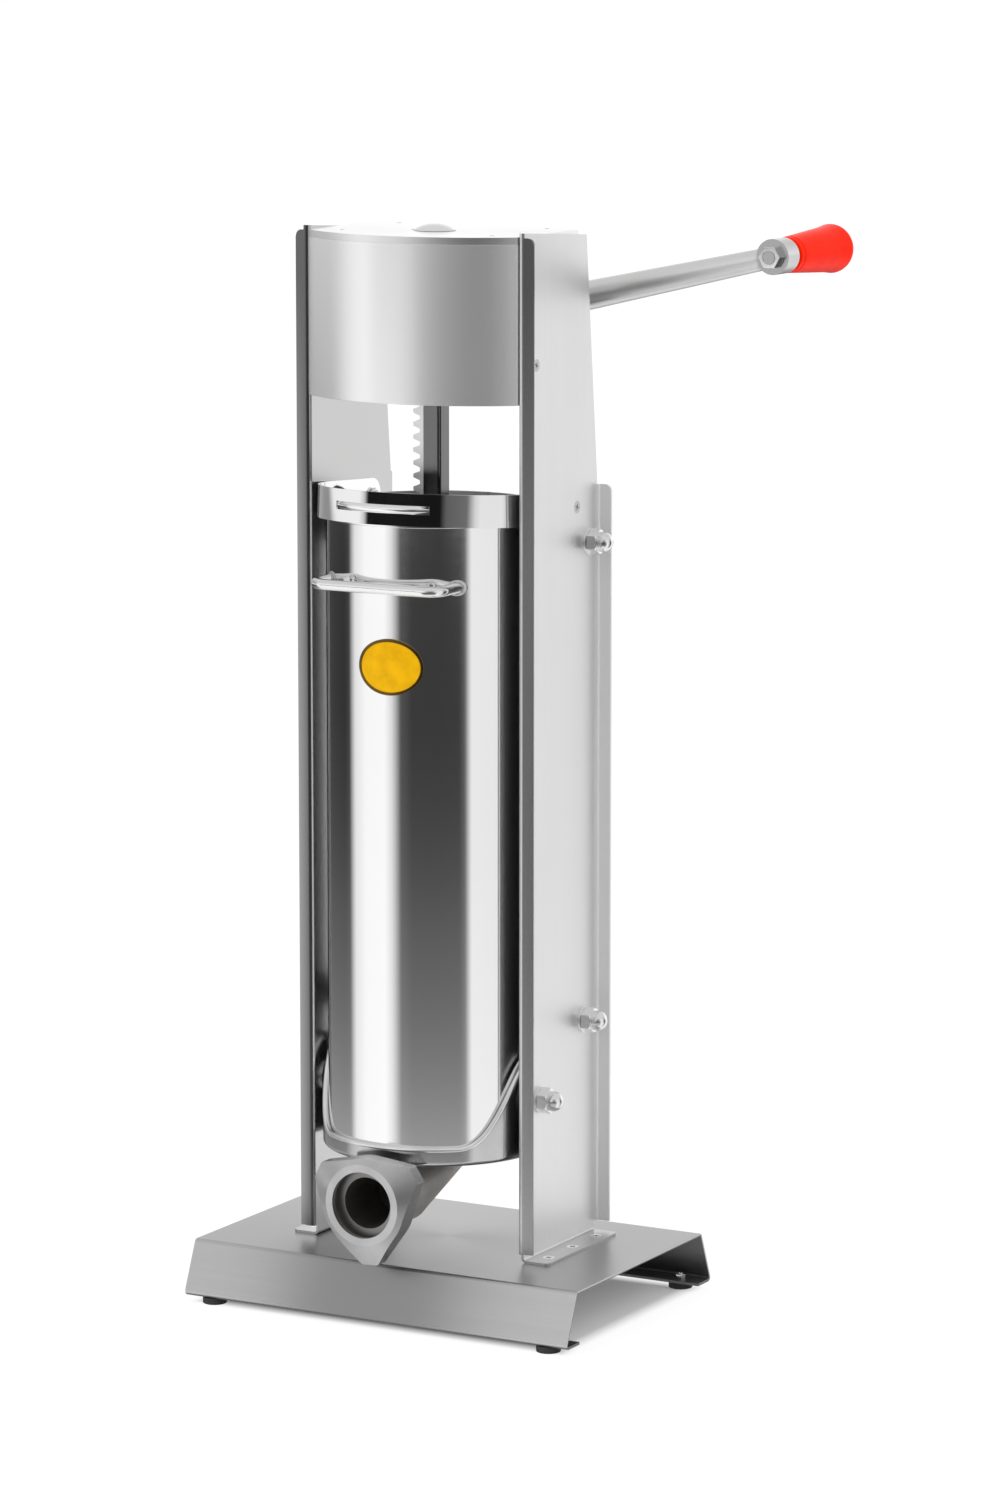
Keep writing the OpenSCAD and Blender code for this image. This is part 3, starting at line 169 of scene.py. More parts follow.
class Finish:
    """A node tree for a material or the world, built from one kind of call."""

    def __init__(self, owner):
        owner.use_nodes = True
        self.owner = owner
        self.tree = owner.node_tree
        self.tree.nodes.clear()

    def node(self, kind, settings=(), sockets=(), out=0):
        made = self.tree.nodes.new(kind)
        for name, value in dict(settings).items():
            if name == "stops":
                ramp = made.color_ramp
                while len(ramp.elements) < len(value):
                    ramp.elements.new(0.5)
                for element, (place, level) in zip(ramp.elements, value):
                    element.position = place
                    element.color = grey(level)
            else:
                setattr(made, name, value)
        for name, value in dict(sockets).items():
            if isinstance(value, Wire):
                self.tree.links.new(value.socket, made.inputs[name])
            else:
                made.inputs[name].default_value = value
        return Wire(self, made.outputs[out]) if len(made.outputs) else made

    def outputs(self, wire, names):
        return [Wire(self, wire.socket.node.outputs[name]) for name in names]

    def place(self, stretch=(1, 1, 1), shift=(0, 0, 0)):
        """Object coordinates in metres, stretched and shifted."""
        where = self.node("ShaderNodeTexCoord", out="Object")
        return self.node(
            "ShaderNodeMapping", {"vector_type": "POINT"},
            {"Vector": where, "Scale": stretch, "Location": shift},
        )

    def axes(self):
        """Object coordinates in millimetres, one wire each."""
        split = self.node("ShaderNodeSeparateXYZ", {}, {"Vector": self.place((1 / MM, 1 / MM, 1 / MM))})
        return Place(*self.outputs(split, "XYZ"))

    def noise(self, stretch, detail, rough, shift=(0, 0, 0)):
        return self.node(
            "ShaderNodeTexNoise", {"noise_dimensions": "3D"},
            {"Vector": self.place(stretch, shift), "Scale": 1.0, "Detail": detail, "Roughness": rough},
        )

    def blend(self, mask, first, second, way="MIX"):
        return self.node(
            "ShaderNodeMix", {"data_type": "RGBA", "blend_type": way, "clamp_factor": True},
            {0: mask, 6: first, 7: second}, out=2,
        )

    def tint(self, level, warm):
        """A grey level made a little warmer."""
        return self.blend(1.0, self.blend(level, grey(0), grey(1)), grey(1, warm), "MULTIPLY")

    def bump(self, height, depth, strength):
        return self.node("ShaderNodeBump", {}, {"Height": height, "Distance": depth, "Strength": strength})

    def ray_kinds(self):
        """Wires that are 1 on camera, glossy and transmission rays."""
        path = self.node("ShaderNodeLightPath")
        return self.outputs(path, ["Is Camera Ray", "Is Glossy Ray", "Is Transmission Ray"])

    def surface(self, **sockets):
        """Ends the finish in a principled surface. Underscores stand for the spaces of socket names."""
        named = {name.replace("_", " "): value for name, value in sockets.items()}
        shader = self.node("ShaderNodeBsdfPrincipled", {}, named)
        self.node("ShaderNodeOutputMaterial", {}, {"Surface": shader})
        return self.owner


def finish(name):
    return Finish(bpy.data.materials.new(name))


def grey(level, warm=0.0):
    return (level * (1 + warm), level, level * (1 - warm), 1)


def patched(f, level, rough, patches):
    """Changes level and roughness where a patch's mask says so."""
    at = f.axes() if patches else None
    for mask_of, patch_level, patch_rough in patches:
        mask = mask_of(at)
        level, rough = level.towards(patch_level, mask), rough.towards(patch_rough, mask)
    return level, rough


def softly_lit(f, fill, fill_where):
    """Metallic level: lower where the grain scatters the light like a matt skin."""
    return 1.0 - (fill * fill_where(f.axes()) if fill_where else fill)


def brushed_steel(
    name, level, rough, along, tone=0.05, spread=0.06, fill=0.0, fill_where=None, patches=(), streak=0.3
):
    """Satin stainless sheet whose grain runs along the axis "x", "y" or "z"."""
    f = finish(name)
    across, lengthways = 1300.0, 6.0
    grain = tuple(lengthways if axis == along else across for axis in "xyz")
    coarse_grain = tuple(s * 0.12 for s in grain)
    lines = f.noise(grain, 3.0, 0.6)
    broad = f.noise(coarse_grain, 2.0, 0.5, shift=(3, 5, 7))
    clouds = f.noise((9, 9, 9), 3.0, 0.55)
    smears = f.noise((31, 31, 14), 4.0, 0.6, shift=(1, 2, 3))
    shade = level + (lines - 0.5) * tone + (broad - 0.5) * tone * 0.5 + (clouds - 0.5) * tone * 0.6
    skin = rough + (lines - 0.5) * spread + (smears - 0.5) * spread
    shade, skin = patched(f, shade, skin, patches)
    return f.surface(
        Base_Color=f.tint(shade, 0.002), Metallic=softly_lit(f, fill, fill_where), Roughness=skin,
        Normal=f.bump(lines * 0.6 + broad * 0.4, 0.000005, 0.5), Anisotropic=streak,
    )


def polished_steel(name, level, rough, wave=0.00004, stretch=(14, 14, 3), patches=()):
    """Bright stainless with the slight waves of rolled sheet and a few faint wipe marks."""
    f = finish(name)
    waves = f.noise(stretch, 1.0, 0.4)
    wipes = f.noise((60, 60, 420), 3.0, 0.7, shift=(2, 1, 0))
    haze = f.noise((7, 7, 5), 3.0, 0.6, shift=(4, 4, 1))
    shade = level + (haze - 0.5) * 0.04
    skin = rough + (wipes - 0.5) * 0.03 + haze.clipped(0.5, 0.8) * 0.03
    shade, skin = patched(f, shade, skin, patches)
    return f.surface(
        Base_Color=f.tint(shade, 0.001), Metallic=1.0, Roughness=skin, Normal=f.bump(waves, wave, 0.5)
    )


def cast_metal(name, level, rough, pit=0.00010, warm=0.0, patches=()):
    """Casting: soft dents under its skin and duller hollows."""
    f = finish(name)
    dents = f.noise((55, 55, 55), 3.0, 0.5)
    skin = f.noise((420, 420, 420), 4.0, 0.7, shift=(1, 0, 2))
    dull = f.noise((24, 24, 24), 3.0, 0.6, shift=(5, 3, 1)).clipped(0.42, 0.72)
    shade = level - dull * level * 0.16
    haze = rough + dull * 0.10 + (skin - 0.5) * 0.06
    shade, haze = patched(f, shade, haze, patches)
    relief = f.bump(dents * 0.8 + skin * 0.2, pit, 0.6)
    return f.surface(Base_Color=f.tint(shade, warm), Metallic=1.0, Roughness=haze, Normal=relief)


def turned_steel(name, level, rough, patches=()):
    """Machined steel with faint tool marks and a thin oil film."""
    f = finish(name)
    marks = f.noise((240, 240, 240), 3.0, 0.6)
    film = f.noise((40, 40, 40), 3.0, 0.5, shift=(2, 4, 6))
    shade = level + (film - 0.5) * 0.12 * level
    skin = rough + (marks - 0.5) * 0.10 + (film - 0.5) * 0.08
    shade, skin = patched(f, shade, skin, patches)
    return f.surface(
        Base_Color=f.tint(shade, 0.004), Metallic=1.0, Roughness=skin, Normal=f.bump(marks, 0.000015, 0.5)
    )


def moulded(name, colour, dark, rough, metal=0.0, shine=0.5):
    """Plastic, rubber, enamel or bronze with an even skin, slightly mottled."""
    f = finish(name)
    mottle = f.noise((90, 90, 90), 3.0, 0.55)
    skin = f.noise((1500, 1500, 1500), 2.0, 0.6, shift=(3, 1, 2))
    return f.surface(
        Base_Color=f.blend(mottle.clipped(0.3, 0.75), colour, dark), Metallic=metal,
        Roughness=rough + (skin - 0.5) * 0.06 + (mottle - 0.5) * 0.05,
        Specular_IOR_Level=shine, Normal=f.bump(skin, 0.00003, 0.3),
    )


# Where a finish changes on its piece, many of them painted shade: each mask is 1 there and 0 elsewhere
# Painted shade: the front flanges of the columns are set darker than their webs.
def on_front_flange(at):
    return (FRONT_FLANGE_BACK - at.y).clipped(0, 0.4) * (abs(at.x) - COLUMN_OUT).clipped(0.8, 1.6)


def on_upper_flange(at):
    """Grows up the flange, which mirrors less of the room towards its top; the darkening there is painted
    shade.
    """
    return on_front_flange(at) * at.z.clipped(560, 760)


# Painted shade: the front of the column is darkest at the bend and fades across the flange.
def on_front_bend(at):
    off_the_inner_side = (abs(at.x) - COLUMN_IN).clipped(0.6, 1.1)
    near_the_web = 1 - (abs(at.x) - COLUMN_OUT).clipped(0.4, 9.4)
    return (FRONT_FLANGE_BACK - at.y).clipped(0, 0.4) * near_the_web * off_the_inner_side


def on_rear_flange(at):
    above_the_foot = (at.z - FOOT_FLANGE_TOP).clipped(0, 0.6)
    off_the_web = (abs(at.x) - COLUMN_OUT).clipped(0.3, 0.8)
    return (at.y - BEHIND_THE_AXIS).clipped(0, 1) * off_the_web * above_the_foot


# Painted shade: the feet of the columns, below the top of the foot flange, are set darker.
def on_foot_flange(at):
    return (FOOT_FLANGE_TOP - at.z).clipped(0, 0.6)


# Painted shade: the inner sides of the webs, facing the cylinder, are set darker.
def inner_side(at):
    return 1 - (abs(at.x) - COLUMN_IN).clipped(0.6, 1.2)


# Painted shade: the top of the base is set darker than its skirts.
def on_the_deck(at):
    return (at.z - BASE_TOP).clipped(-0.4, -0.1)


def shade_under_the_spout(at):
    """Painted shade on the plate: darker and a little rougher in the middle under the spout, most towards
    the front.
    """
    middle_x, half_width, front_y, rear_y = -5, 105, -60, 60
    off = (at.x - middle_x) / half_width
    return 1 / (1 + 3 * off * off * off * off) * (1 - at.y.clipped(front_y, rear_y))


def under_the_sheet(at):
    """The inner side of the bent base plate: below the middle of its top and behind that of both skirts, set
    dark as painted shade.
    """
    outwards, upwards = Vector((38, 16)).normalized()
    above = at.z - (BASE_TOP - SHEET / 2)
    ahead = (BASE_FRONT - at.y) * outwards + above * upwards
    behind = (at.y - BASE_REAR) * outwards + above * upwards
    return 1 - ahead.most(behind).most(above).clipped(-0.6, 0.2)


def inside_the_cylinder(at):
    inner_r = CYLINDER_R - 0.6
    return (inner_r * inner_r - (at.x * at.x + at.y * at.y)).clipped(0, 20)


def seam_of_the_cylinder(at):
    half_width = 1.4
    return (half_width - abs(at.x)).clipped(0, 0.5) * (at.y - BEHIND_THE_AXIS).clipped(0, 1)


def inside_the_passage(at):
    wall_r, straight_from = PASSAGE_R + 0.4, -50
    up = at.z - SPOUT_Z
    return (wall_r * wall_r - (at.x * at.x + up * up)).clipped(0, 10) * (straight_from - at.y).clipped(0, 4)


# Painted shade: the threaded end of the spout, inside the ring nut, is set dark.
def end_of_the_spout(at):
    length = 18
    return (SPOUT_END + length - at.y).clipped(0, 1)


def at_the_grip_end(at):
    boss_r = 14.55
    return (at.x - (GRIP_AXIS_X - boss_r)).clipped(0, 3)


# Painted shade: the plain bar of the rack, beside its teeth, is set dark in place of the dark housing that
# it mirrors.
def on_the_plain_bar(at):
    return (at.x - RACK_ROOT).clipped(0, 0.6)


# Each finish: its name, its level of grey or its two colours, its roughness, the axis of its grain if it is
# brushed, and the patches (mask, level, roughness) that lie over it, the last on top
FINISHES = {
    # The columns' patches are painted shade, except the rear flange's, which makes it matt.
    "left_column": brushed_steel(
        "left_column_steel", 0.84, 0.44, "z", fill=0.6, fill_where=on_rear_flange,
        patches=[
            (inner_side, 0.62, 0.26), (on_foot_flange, 0.60, 0.34), (on_front_flange, 0.46, 0.46),
            (on_upper_flange, 0.18, 0.40), (on_front_bend, 0.16, 0.30), (on_rear_flange, 0.84, 0.6),
        ],
    ),
    # Painted light: the right column is the same steel as the left one but is set brighter.
    "right_column": brushed_steel(
        "right_column_steel", 0.93, 0.46, "z", fill=0.6, fill_where=on_rear_flange,
        patches=[
            (inner_side, 0.62, 0.26), (on_foot_flange, 0.60, 0.34), (on_front_flange, 0.50, 0.24),
            (on_upper_flange, 0.26, 0.24), (on_rear_flange, 0.78, 0.6),
        ],
    ),
    "cover": brushed_steel(
        "gear_cover_steel", 0.90, 0.26, "z", tone=0.03, spread=0.03, fill=0.17, streak=0.0
    ),
    "lid": brushed_steel("lid_steel", 0.95, 0.32, "x", tone=0.03),
    "straps": brushed_steel("strap_steel", 0.74, 0.30, "x"),
    # All three patches of the base are painted shade.
    "base": brushed_steel(
        "base_plate_steel", 0.58, 0.34, "x", tone=0.10, spread=0.08,
        patches=[(on_the_deck, 0.44, 0.34), (shade_under_the_spout, 0.31, 0.36), (under_the_sheet, 0.22, 0.5)],
    ),
    "mirror": polished_steel(
        "polished_cylinder_steel", 0.88, 0.06,
        patches=[(inside_the_cylinder, 0.80, 0.30), (seam_of_the_cylinder, 0.66, 0.34)],
    ),
    "hoop": polished_steel("polished_hoop_steel", 0.90, 0.05, 0.00002, (20, 20, 20)),
    "bright_rod": polished_steel("polished_rod_steel", 0.84, 0.13, 0.00002, (80, 80, 80)),
    "crank": turned_steel("crank_arm_steel", 0.80, 0.38, patches=[(at_the_grip_end, 0.58, 0.24)]),
    "cast": cast_metal("polished_cradle_casting", 0.56, 0.11),
    # Painted highlight: the bead along the cradle's rim is set much brighter than the cup of the same
    # casting.
    "bead": cast_metal("polished_cradle_bead", 0.86, 0.16, 0.00004),
    "nut": cast_metal("satin_nut_casting", 0.54, 0.28, 0.00002),
    # The end_of_the_spout patch is painted shade.
    "elbow": cast_metal(
        "raw_elbow_casting", 0.62, 0.36, 0.0002, warm=0.04,
        patches=[(end_of_the_spout, 0.26, 0.4), (inside_the_passage, 0.32, 0.5)],
    ),
    "piston": cast_metal("piston_casting", 0.62, 0.24),
    "plated": polished_steel("plated_fasteners", 0.84, 0.16, 0.00002, (160, 160, 160)),
    "cap": polished_steel("rack_cap_steel", 0.90, 0.30, 0.00001, (60, 60, 60)),
    "turned": turned_steel("turned_steel", 0.62, 0.28),
    # The on_the_plain_bar patch is painted shade.
    "rack": turned_steel("rack_steel", 0.92, 0.36, patches=[(on_the_plain_bar, 0.17, 0.16)]),
    "gears": turned_steel("machined_gears", 0.36, 0.34),
    "bronze": moulded("bearing_bronze", (0.50, 0.30, 0.12, 1), (0.34, 0.19, 0.07, 1), 0.32, metal=1.0),
    "guide": moulded("guide_plastic", (0.80, 0.79, 0.75, 1), (0.72, 0.71, 0.67, 1), 0.45),
    "seal": moulded("seal_rubber", (0.78, 0.78, 0.75, 1), (0.70, 0.70, 0.67, 1), 0.55),
    "foot": moulded("foot_rubber", (0.018, 0.018, 0.019, 1), (0.03, 0.03, 0.031, 1), 0.62),
    "flush": turned_steel("flush_screw_steel", 0.60, 0.40),
    "grip": moulded(
        "red_grip_plastic", (0.95, 0.018, 0.0005, 1), (0.86, 0.013, 0.0005, 1), 0.32, metal=0.25, shine=0.03
    ),
    "enamel": moulded("yellow_enamel", (0.82, 0.44, 0.001, 1), (0.62, 0.32, 0.001, 1), 0.28, shine=0.10),
    "badge_rim": moulded(
        "badge_rim_metal", (0.20, 0.12, 0.03, 1), (0.10, 0.07, 0.03, 1), 0.30, metal=1.0
    ),
    "recess": turned_steel("screw_recess_shadow", 0.10, 0.5),
    "weld": cast_metal("brushed_weld", 0.66, 0.34, 0.0002),
}

# Which finish each CAD node wears
WEARS = {
    "left_column": ["left_column"],
    "right_column": ["right_column"],
    "cover": ["gearbox_cover"],
    "lid": ["gearbox_lid"],
    "straps": ["gearbox_floor", "upper_back_strap", "lower_back_strap"],
    "base": ["base_plate"],
    "mirror": ["meat_cylinder", "cylinder_rim"],
    "hoop": ["retaining_hoop"],
    "bright_rod": ["cylinder_handle"],
    "crank": ["crank_arm", "grip_stud"],
    "cast": ["cradle"],
    "nut": ["spout_ring_nut"],
    "elbow": ["outlet_elbow"],
    "piston": ["piston_disc"],
    "cap": ["rack_top_cap"],
    "flush": ["hoop_screws", "gearbox_screws"],
    "plated": [
        "foot_screws", "foot_nuts", "column_screws", "column_nuts", "strap_bolts", "bolt_washers",
        "cap_nuts", "pivot_bolts", "outlet_screws", "hoop_nuts", "housing_plate_screws",
        "crank_washer", "crank_cap_nut", "grip_nut", "piston_screw", "air_valve",
    ],
    "turned": ["crank_shaft", "pinion_shaft", "front_bearing_plate", "rear_bearing_plate"],
    "rack": ["rack"],
    "gears": [
        "crank_pinion", "drive_gear", "rack_pinion", "crank_shaft_keys", "pinion_shaft_key",
        "crank_shaft_clips", "pinion_shaft_clips", "crank_shaft_spacers", "pinion_shaft_spacers",
    ],
    "bronze": ["shaft_bushes"],
    "guide": ["lower_rack_guide", "upper_rack_guide"],
    "seal": ["cylinder_gasket", "outlet_gasket", "piston_seal"],
    "foot": ["rubber_feet"],
    "grip": ["crank_grip"],
    "enamel": ["badge_plate"],
}
FINISH_OF = {node: FINISHES[key] for key, nodes in WEARS.items() for node in nodes}
for node, made in frame["nodes"].items():
    made.data.materials.clear()
    made.data.materials.append(FINISH_OF[node])


# Making and finishing pieces
def piece(name, bm, like, material=None, angle=32, replaces=()):
    """Turns a bmesh into a piece that rides with the CAD node it is like, and may stand for nodes."""
    bm.transform(Matrix.Scale(MM, 4))
    mesh = bpy.data.meshes.new(name)
    bm.to_mesh(mesh)
    bm.free()
    mesh.polygons.foreach_set("use_smooth", [True] * len(mesh.polygons))
    mesh.set_sharp_from_angle(angle=math.radians(angle))
    made = bpy.data.objects.new(name, mesh)
    scene.collection.objects.link(made)
    mesh.materials.append(material or FINISH_OF[like])
    level = made.modifiers.new("even_shading", "WEIGHTED_NORMAL")
    level.keep_sharp = True
    level.weight = 80
    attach(made, frame["nodes"][like]["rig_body"])
    if replaces:
        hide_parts(*replaces)
    return made


def merged(node):
    """A copy of a CAD node in millimetres, its loose triangles joined and its flat faces whole."""
    bm = bmesh.new()
    bm.from_mesh(frame["nodes"][node].data)
    bm.transform(Matrix.Scale(1 / MM, 4))
    bmesh.ops.remove_doubles(bm, verts=bm.verts, dist=2e-3)
    bmesh.ops.dissolve_limit(
        bm, angle_limit=math.radians(0.6), use_dissolve_boundaries=False, verts=bm.verts, edges=bm.edges
    )
    return bm


def round_edges(bm, width, segments=2, chosen=None):
    """Rounds the sharp edges, or those with both ends at a chosen place."""
    sharp = math.radians(34)
    edges = [e for e in bm.edges if len(e.link_faces) == 2 and e.calc_face_angle(0) > sharp]
    if chosen:
        edges = [e for e in edges if all(chosen(v.co) for v in e.verts)]
    if edges:
        bmesh.ops.bevel(
            bm, geom=edges, offset=width, offset_type="OFFSET", segments=segments, profile=0.5,
            affect="EDGES", material=-1, clamp_overlap=True, loop_slide=True,
        )


def softened(node, width, first=(), shape=None, after=None, angle=40):
    """A copy of a CAD node with its sharp edges rounded, shown in its place."""
    bm = merged(node)
    if shape:
        shape(bm)
    for chosen, wide, segments in first:
        round_edges(bm, wide, segments, chosen)
    round_edges(bm, width)
    if after:
        after(bm)
    return piece(node + "_rounded", bm, node, angle=angle, replaces=[node])


def spun(outline, steps=96):
    """A body turned about the upright axis from the (radius, height) points of a closed outline."""
    bm = bmesh.new()
    verts = [bm.verts.new((r, 0, h)) for r, h in outline]
    pairs = zip(verts, verts[1:] + verts[:1])
    edges = [bm.edges.new(pair) for pair in pairs if any(v.co.x > 0 for v in pair)]
    bmesh.ops.spin(
        bm, geom=verts + edges, cent=(0, 0, 0), axis=(0, 0, 1), dvec=(0, 0, 0), angle=math.tau,
        steps=steps, use_merge=True, use_duplicate=False,
    )
    bmesh.ops.remove_doubles(bm, verts=bm.verts, dist=1e-4)
    bmesh.ops.recalc_face_normals(bm, faces=bm.faces)
    return bm


def arc(centre, r, start, end, steps):
    """Points of a round corner in an outline, angles in degrees."""
    turns = [math.radians(start + (end - start) * i / steps) for i in range(steps + 1)]
    return [(centre[0] + r * math.cos(a), centre[1] + r * math.sin(a)) for a in turns]


def bead_ring(r, bead_r, steps):
    """A round bead bent into a level ring."""
    return spun(arc((r, 0), bead_r, 0, 330, 11), steps)


def joined(parts):
    """One bmesh out of several."""
    whole = bmesh.new()
    for part in parts:
        mesh = bpy.data.meshes.new("part")
        part.to_mesh(mesh)
        part.free()
        whole.from_mesh(mesh)
        bpy.data.meshes.remove(mesh)
    return whole


# Cylinder, band, badge and handle
def cylinder_shell():
    inner = CYLINDER_R - CYLINDER_WALL
    r = 0.35
    outline = (
        arc((CYLINDER_R - r, CYLINDER_BOTTOM + r), r, -90, 0, 4)
        + arc((CYLINDER_R - r, CYLINDER_TOP - r), r, 0, 90, 4)
        + arc((inner + r, CYLINDER_TOP - r), r, 90, 180, 4)
        + arc((inner + r, CYLINDER_BOTTOM + r), r, 180, 270, 4)
    )
    piece("meat_cylinder_polished", spun(outline, 192), "meat_cylinder", replaces=["meat_cylinder"])


def mouth_band():
    inner = CYLINDER_R + 0.02
    r = 0.55
    outline = (
        [(inner, RIM_BOTTOM)]
        + arc((RIM_R - r, RIM_BOTTOM + r), r, -90, 0, 5)
        + arc((RIM_R - r, CYLINDER_TOP - r), r, 0, 90, 5)
        + [(inner, CYLINDER_TOP)]
    )
    piece("cylinder_mouth_band", spun(outline, 192), "cylinder_rim", replaces=["cylinder_rim"])


def onto_cylinder(bm, z):
    """Wraps a flat piece round the front of the cylinder. Its own Z becomes the distance off the wall."""
    for v in bm.verts:
        turn = v.co.x / CYLINDER_R + BADGE_TURN
        reach = CYLINDER_R + v.co.z
        v.co = (reach * math.sin(turn), -reach * math.cos(turn), z + v.co.y)


def oval(half_w, half_h, lift):
    bm = bmesh.new()
    bmesh.ops.create_circle(bm, cap_ends=True, segments=72, radius=1)
    bmesh.ops.scale(bm, vec=(half_w, half_h, 1), verts=bm.verts)
    bmesh.ops.translate(bm, vec=(0, 0, lift), verts=bm.verts)
    return bm


def raised(bm, height):
    """Gives the faces of a flat piece a thickness, upwards, and returns the raised faces."""
    top = bmesh.ops.extrude_face_region(bm, geom=bm.faces[:])["geom"]
    bmesh.ops.translate(bm, vec=(0, 0, height), verts=[g for g in top if isinstance(g, bmesh.types.BMVert)])
    bmesh.ops.recalc_face_normals(bm, faces=bm.faces)
    return [g for g in top if isinstance(g, bmesh.types.BMFace)]


def badge():
    """Domed enamel in a metal rim, both a hair off the wall."""
    lift = 0.03
    enamel_t, rim_t, rim_w = 0.8, 1.4, 2.2
    dome = ((0.9, 0.12), (2.6, 0.12), (6.0, 0.10))
    enamel = oval(23.6, 19.1, lift)
    top = raised(enamel, enamel_t)
    for width, height in dome:
        bmesh.ops.inset_region(enamel, faces=top, thickness=width, depth=height, use_even_offset=True)
    bmesh.ops.poke(enamel, faces=top)
    onto_cylinder(enamel, BADGE_Z)
    piece("badge_enamel", enamel, "badge_plate", replaces=["badge_plate"])
    rim = oval(25.7, 20.5, lift)
    ring = bmesh.ops.inset_region(
        rim, faces=rim.faces[:], thickness=rim_w, use_boundary=True, use_even_offset=True
    )["faces"]
    bmesh.ops.delete(rim, geom=[f for f in rim.faces if f not in ring], context="FACES_ONLY")
    raised(rim, rim_t)
    round_edges(rim, 0.4, 3)
    onto_cylinder(rim, BADGE_Z)
    piece("badge_rim", rim, "badge_plate", FINISHES["badge_rim"])


def handle_welds():
    """The lumpy beads that join the two legs of the handle to the cylinder."""
    ring_r, bead_r = HANDLE_ROD_R + 0.5, 1.3
    lump, lumps = 0.25, 9
    facing_front = Matrix.Rotation(math.radians(90), 3, "X")
    beads = []
    for side in (-1, 1):
        bead = bead_ring(ring_r, bead_r, 32)
        bmesh.ops.rotate(bead, cent=(0, 0, 0), matrix=facing_front, verts=bead.verts)
        for v in bead.verts:
            x = v.co.x + side * HANDLE_LEG_X
            swell = 1 + lump * math.sin(lumps * math.atan2(v.co.z, v.co.x))
            v.co = (x, v.co.y * swell - math.sqrt(CYLINDER_R ** 2 - x * x), v.co.z + HANDLE_Z)
        beads.append(bead)
    piece("handle_welds", joined(beads), "cylinder_handle", FINISHES["weld"])


# Hoop
def taper_rib(bm):
    """Lets the pressed rib of the hoop run out into the strap at both ends."""
    rib_half_angle, fade_angle = 26.5, 10
    strap_r = HOOP_R - 0.3
    end_height = 0.4
    level = Matrix.Rotation(HOOP_TILT, 3, "X")
    pivot = Vector((0, HOOP_PIVOT.y, 0))
    for v in bm.verts:
        place = level @ (v.co - HOOP_PIVOT) + pivot
        reach = math.hypot(place.x, place.y)
        if reach < HOOP_R + 0.05 or place.y > 0:
            continue
        off = abs(math.degrees(math.atan2(place.x, -place.y)))
        share = min(1, max(0, (rib_half_angle - off) / fade_angle))
        share = share * share * (3 - 2 * share)
        scale = (strap_r + (reach - strap_r) * share) / reach
        height = end_height + (1 - end_height) * share
        place = Vector((place.x * scale, place.y * scale, place.z * height))
        v.co = level.transposed() @ (place - pivot) + HOOP_PIVOT


# Cradle and outlet
def cradle_bead():
    """The rolled bead along the rim of the cup and its two ears."""
    bead_r, inset, drop = 2.1, 1.85, 0.7
    centre_r = CRADLE_R - inset
    bead = bead_ring(centre_r, bead_r, 160)
    for v in bead.verts:
        turn = math.atan2(v.co.y, v.co.x)
        y = centre_r * math.sin(turn) - PIVOT_Y
        rise, slope = 0.0, 0.0
        if abs(y) < EAR_HALF_W:
            wave = math.pi * y / EAR_HALF_W
            rise = EAR_RISE * (1 + math.cos(wave)) / 2
            slope = EAR_RISE * math.pi / EAR_HALF_W / 2 * math.sin(wave) * math.cos(turn)
        v.co.z = CRADLE_RIM_Z - drop + rise + v.co.z * math.hypot(1, slope)
    piece("cradle_rim_bead", bead, "cradle", FINISHES["bead"])


def cut_thread(bm):
    """Turns the plain end of the spout into a thread of fine ridges: every other cut is drawn inwards."""
    cuts, half_pitch, root = 19, 0.8, 0.972
    start, end = SPOUT_END + 0.8, SPOUT_END + 15.2

    def on_the_thread(face):
        c = face.calc_center_median()
        off_the_wall = abs(math.hypot(c.x, c.z - SPOUT_Z) - SPOUT_THREAD_R)
        return off_the_wall < 0.4 and abs(face.normal.y) < 0.2 and start - 2 < c.y < end + 2

    for i in range(cuts):
        faces = [f for f in bm.faces if on_the_thread(f)]
        geom = list({g for f in faces for g in [f, *f.edges, *f.verts]})
        cut = bmesh.ops.bisect_plane(
            bm, geom=geom, plane_co=(0, start + half_pitch * i, 0), plane_no=(0, 1, 0), dist=1e-5
        )["geom_cut"]
        if i % 2:
            for v in (g for g in cut if isinstance(g, bmesh.types.BMVert)):
                v.co.x *= root
                v.co.z = SPOUT_Z + (v.co.z - SPOUT_Z) * root


